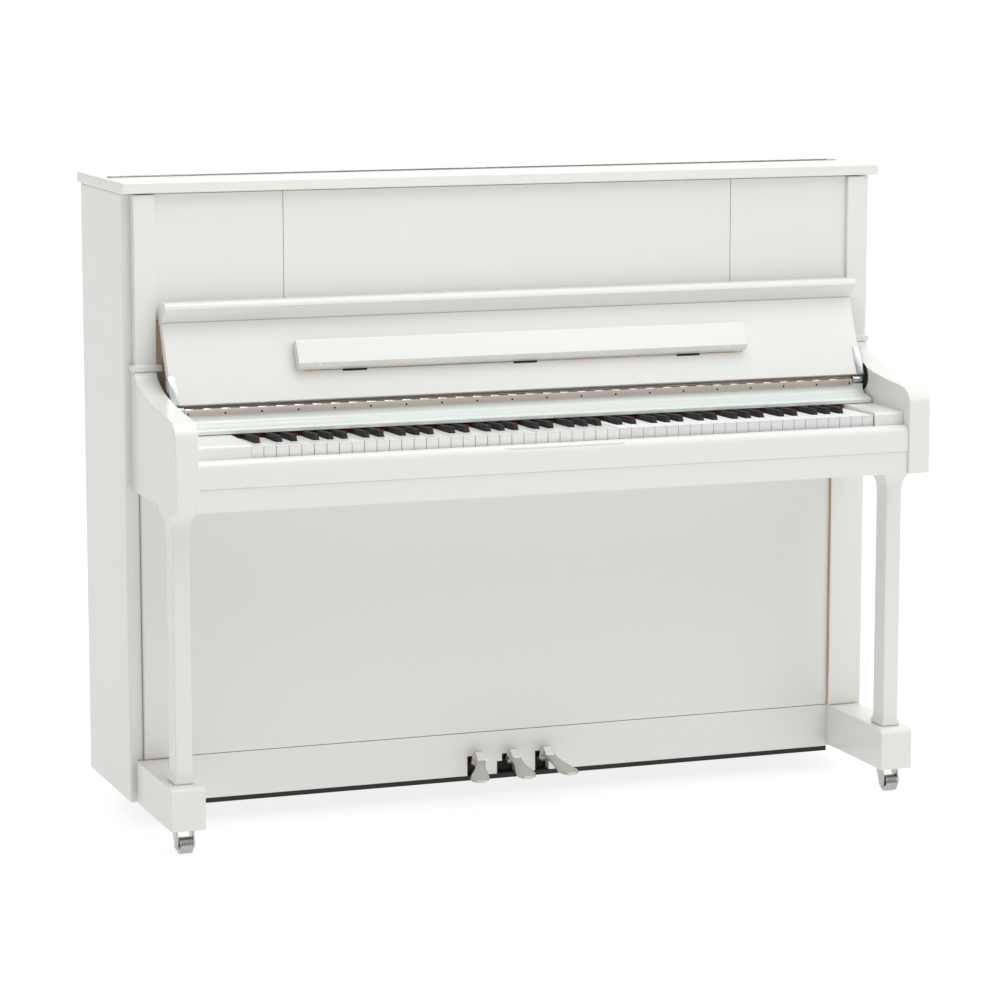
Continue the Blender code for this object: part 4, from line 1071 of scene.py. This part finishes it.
class PIANO_OT_stage(Operator):
    """Pale floor, soft light and the camera"""

    bl_idname = "piano.stage"
    bl_label = "Stage"

    def execute(self, context):
        settings = context.scene.piano_stage
        self.floor()
        self.lights(settings)
        self.camera(settings)
        context.scene.view_settings.view_transform = "Standard"
        return {"FINISHED"}

    @staticmethod
    def floor():
        """A wide pale floor."""
        bm = bmesh.new()
        bmesh.ops.create_grid(bm, x_segments=1, y_segments=1, size=FLOOR_SIZE)
        thing = placed("floor", mesh_of("floor", bm))
        mat, _, shader = finish_of("floor_paint", 0.6, Specular_IOR_Level=0.2)
        shader.inputs["Base Color"].default_value = (FLOOR_GREY, FLOOR_GREY, FLOOR_GREY, 1.0)
        shader.inputs["Emission Color"].default_value = (1.0, 1.0, 1.0, 1.0)
        shader.inputs["Emission Strength"].default_value = FLOOR_GLOW
        thing.data.materials.append(mat)

    @staticmethod
    def lights(settings):
        """White surround, dimmer to the bass side and brighter overhead and behind, and two soft lights."""
        world = bpy.data.worlds.new("surround")
        world.use_nodes = True
        tree = world.node_tree
        ground = tree.nodes["Background"]
        ground.inputs["Color"].default_value = (1.0, 1.0, 1.0, 1.0)
        coord = tree.nodes.new("ShaderNodeTexCoord")
        split = tree.nodes.new("ShaderNodeSeparateXYZ")
        tree.links.new(coord.outputs["Generated"], split.inputs["Vector"])
        across = ranged(tree, split.outputs["X"], settings.bass_side, settings.sky, -0.05, 0.18)
        upwards = ranged(tree, split.outputs["Z"], 1.0, settings.overhead, 0.55, 0.95)
        beyond = ranged(tree, split.outputs["Y"], 1.0, settings.behind, 0.55, 0.84)
        strength = across
        for factor in (upwards, beyond):
            product = tree.nodes.new("ShaderNodeMath")
            product.operation = "MULTIPLY"
            tree.links.new(strength, product.inputs[0])
            tree.links.new(factor, product.inputs[1])
            strength = product.outputs["Value"]
        tree.links.new(strength, ground.inputs["Strength"])
        bpy.context.scene.world = world
        for name, where, target, size, power in (
                ("key_light", (2.6, -3.3, 3.7), (0.0, 0.0, 0.9), 2.2, settings.key_power),
                ("top_light", (-0.3, -0.75, 2.6), (-0.1, -0.2, 0.8), 0.9, settings.top_power)):
            data = bpy.data.lights.new(name, "AREA")
            data.size = size
            data.energy = power
            lamp = placed(name, data)
            lamp.location = where
            lamp.rotation_euler = (Vector(target) - Vector(where)).to_track_quat("-Z", "Y").to_euler()

    @staticmethod
    def camera(settings):
        """Camera a little above the lid, to the bass side, looking slightly down."""
        data = bpy.data.cameras.new("camera")
        data.lens = settings.lens
        data.sensor_width = SENSOR
        data.clip_end = 400.0
        thing = placed("camera", data)
        thing.location = (CAMERA_AT[0], row(CAMERA_AT[1]), CAMERA_AT[2])
        thing.rotation_euler = (CAMERA_PITCH, 0.0, CAMERA_TURN)
        bpy.context.scene.camera = thing


OPERATORS = (PIANO_OT_finishes, PIANO_OT_case, PIANO_OT_white_keys, PIANO_OT_black_keys, PIANO_OT_key_surround,
             PIANO_OT_hinges, PIANO_OT_brackets, PIANO_OT_desk, PIANO_OT_pedals, PIANO_OT_casters,
             PIANO_OT_back, PIANO_OT_action, PIANO_OT_stage)


class PIANO_PT_panel(Panel):
    """Sizes, colours and the operators in the sidebar"""

    bl_idname = "PIANO_PT_panel"
    bl_label = "Upright Piano"
    bl_space_type = "VIEW_3D"
    bl_region_type = "UI"
    bl_category = "Piano"

    def draw(self, context):
        for group in (context.scene.piano_finish, context.scene.piano_sizes, context.scene.piano_stage):
            box = self.layout.box()
            for name in group.__annotations__:
                box.prop(group, name)
        for operator in OPERATORS:
            self.layout.operator(operator.bl_idname)


CLASSES = (PianoFinish, PianoSizes, PianoStage, *OPERATORS, PIANO_PT_panel)


def register():
    for item in CLASSES:
        bpy.utils.register_class(item)
    bpy.types.Scene.piano_finish = PointerProperty(type=PianoFinish)
    bpy.types.Scene.piano_sizes = PointerProperty(type=PianoSizes)
    bpy.types.Scene.piano_stage = PointerProperty(type=PianoStage)


def unregister():
    del bpy.types.Scene.piano_stage
    del bpy.types.Scene.piano_sizes
    del bpy.types.Scene.piano_finish
    for item in reversed(CLASSES):
        bpy.utils.unregister_class(item)


def main():
    """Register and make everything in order."""
    register()
    for operator in OPERATORS:
        group, name = operator.bl_idname.split(".")
        if getattr(getattr(bpy.ops, group), name)() != {"FINISHED"}:
            raise RuntimeError(f"{operator.bl_idname} did not finish")


if __name__ == "__main__":
    main()
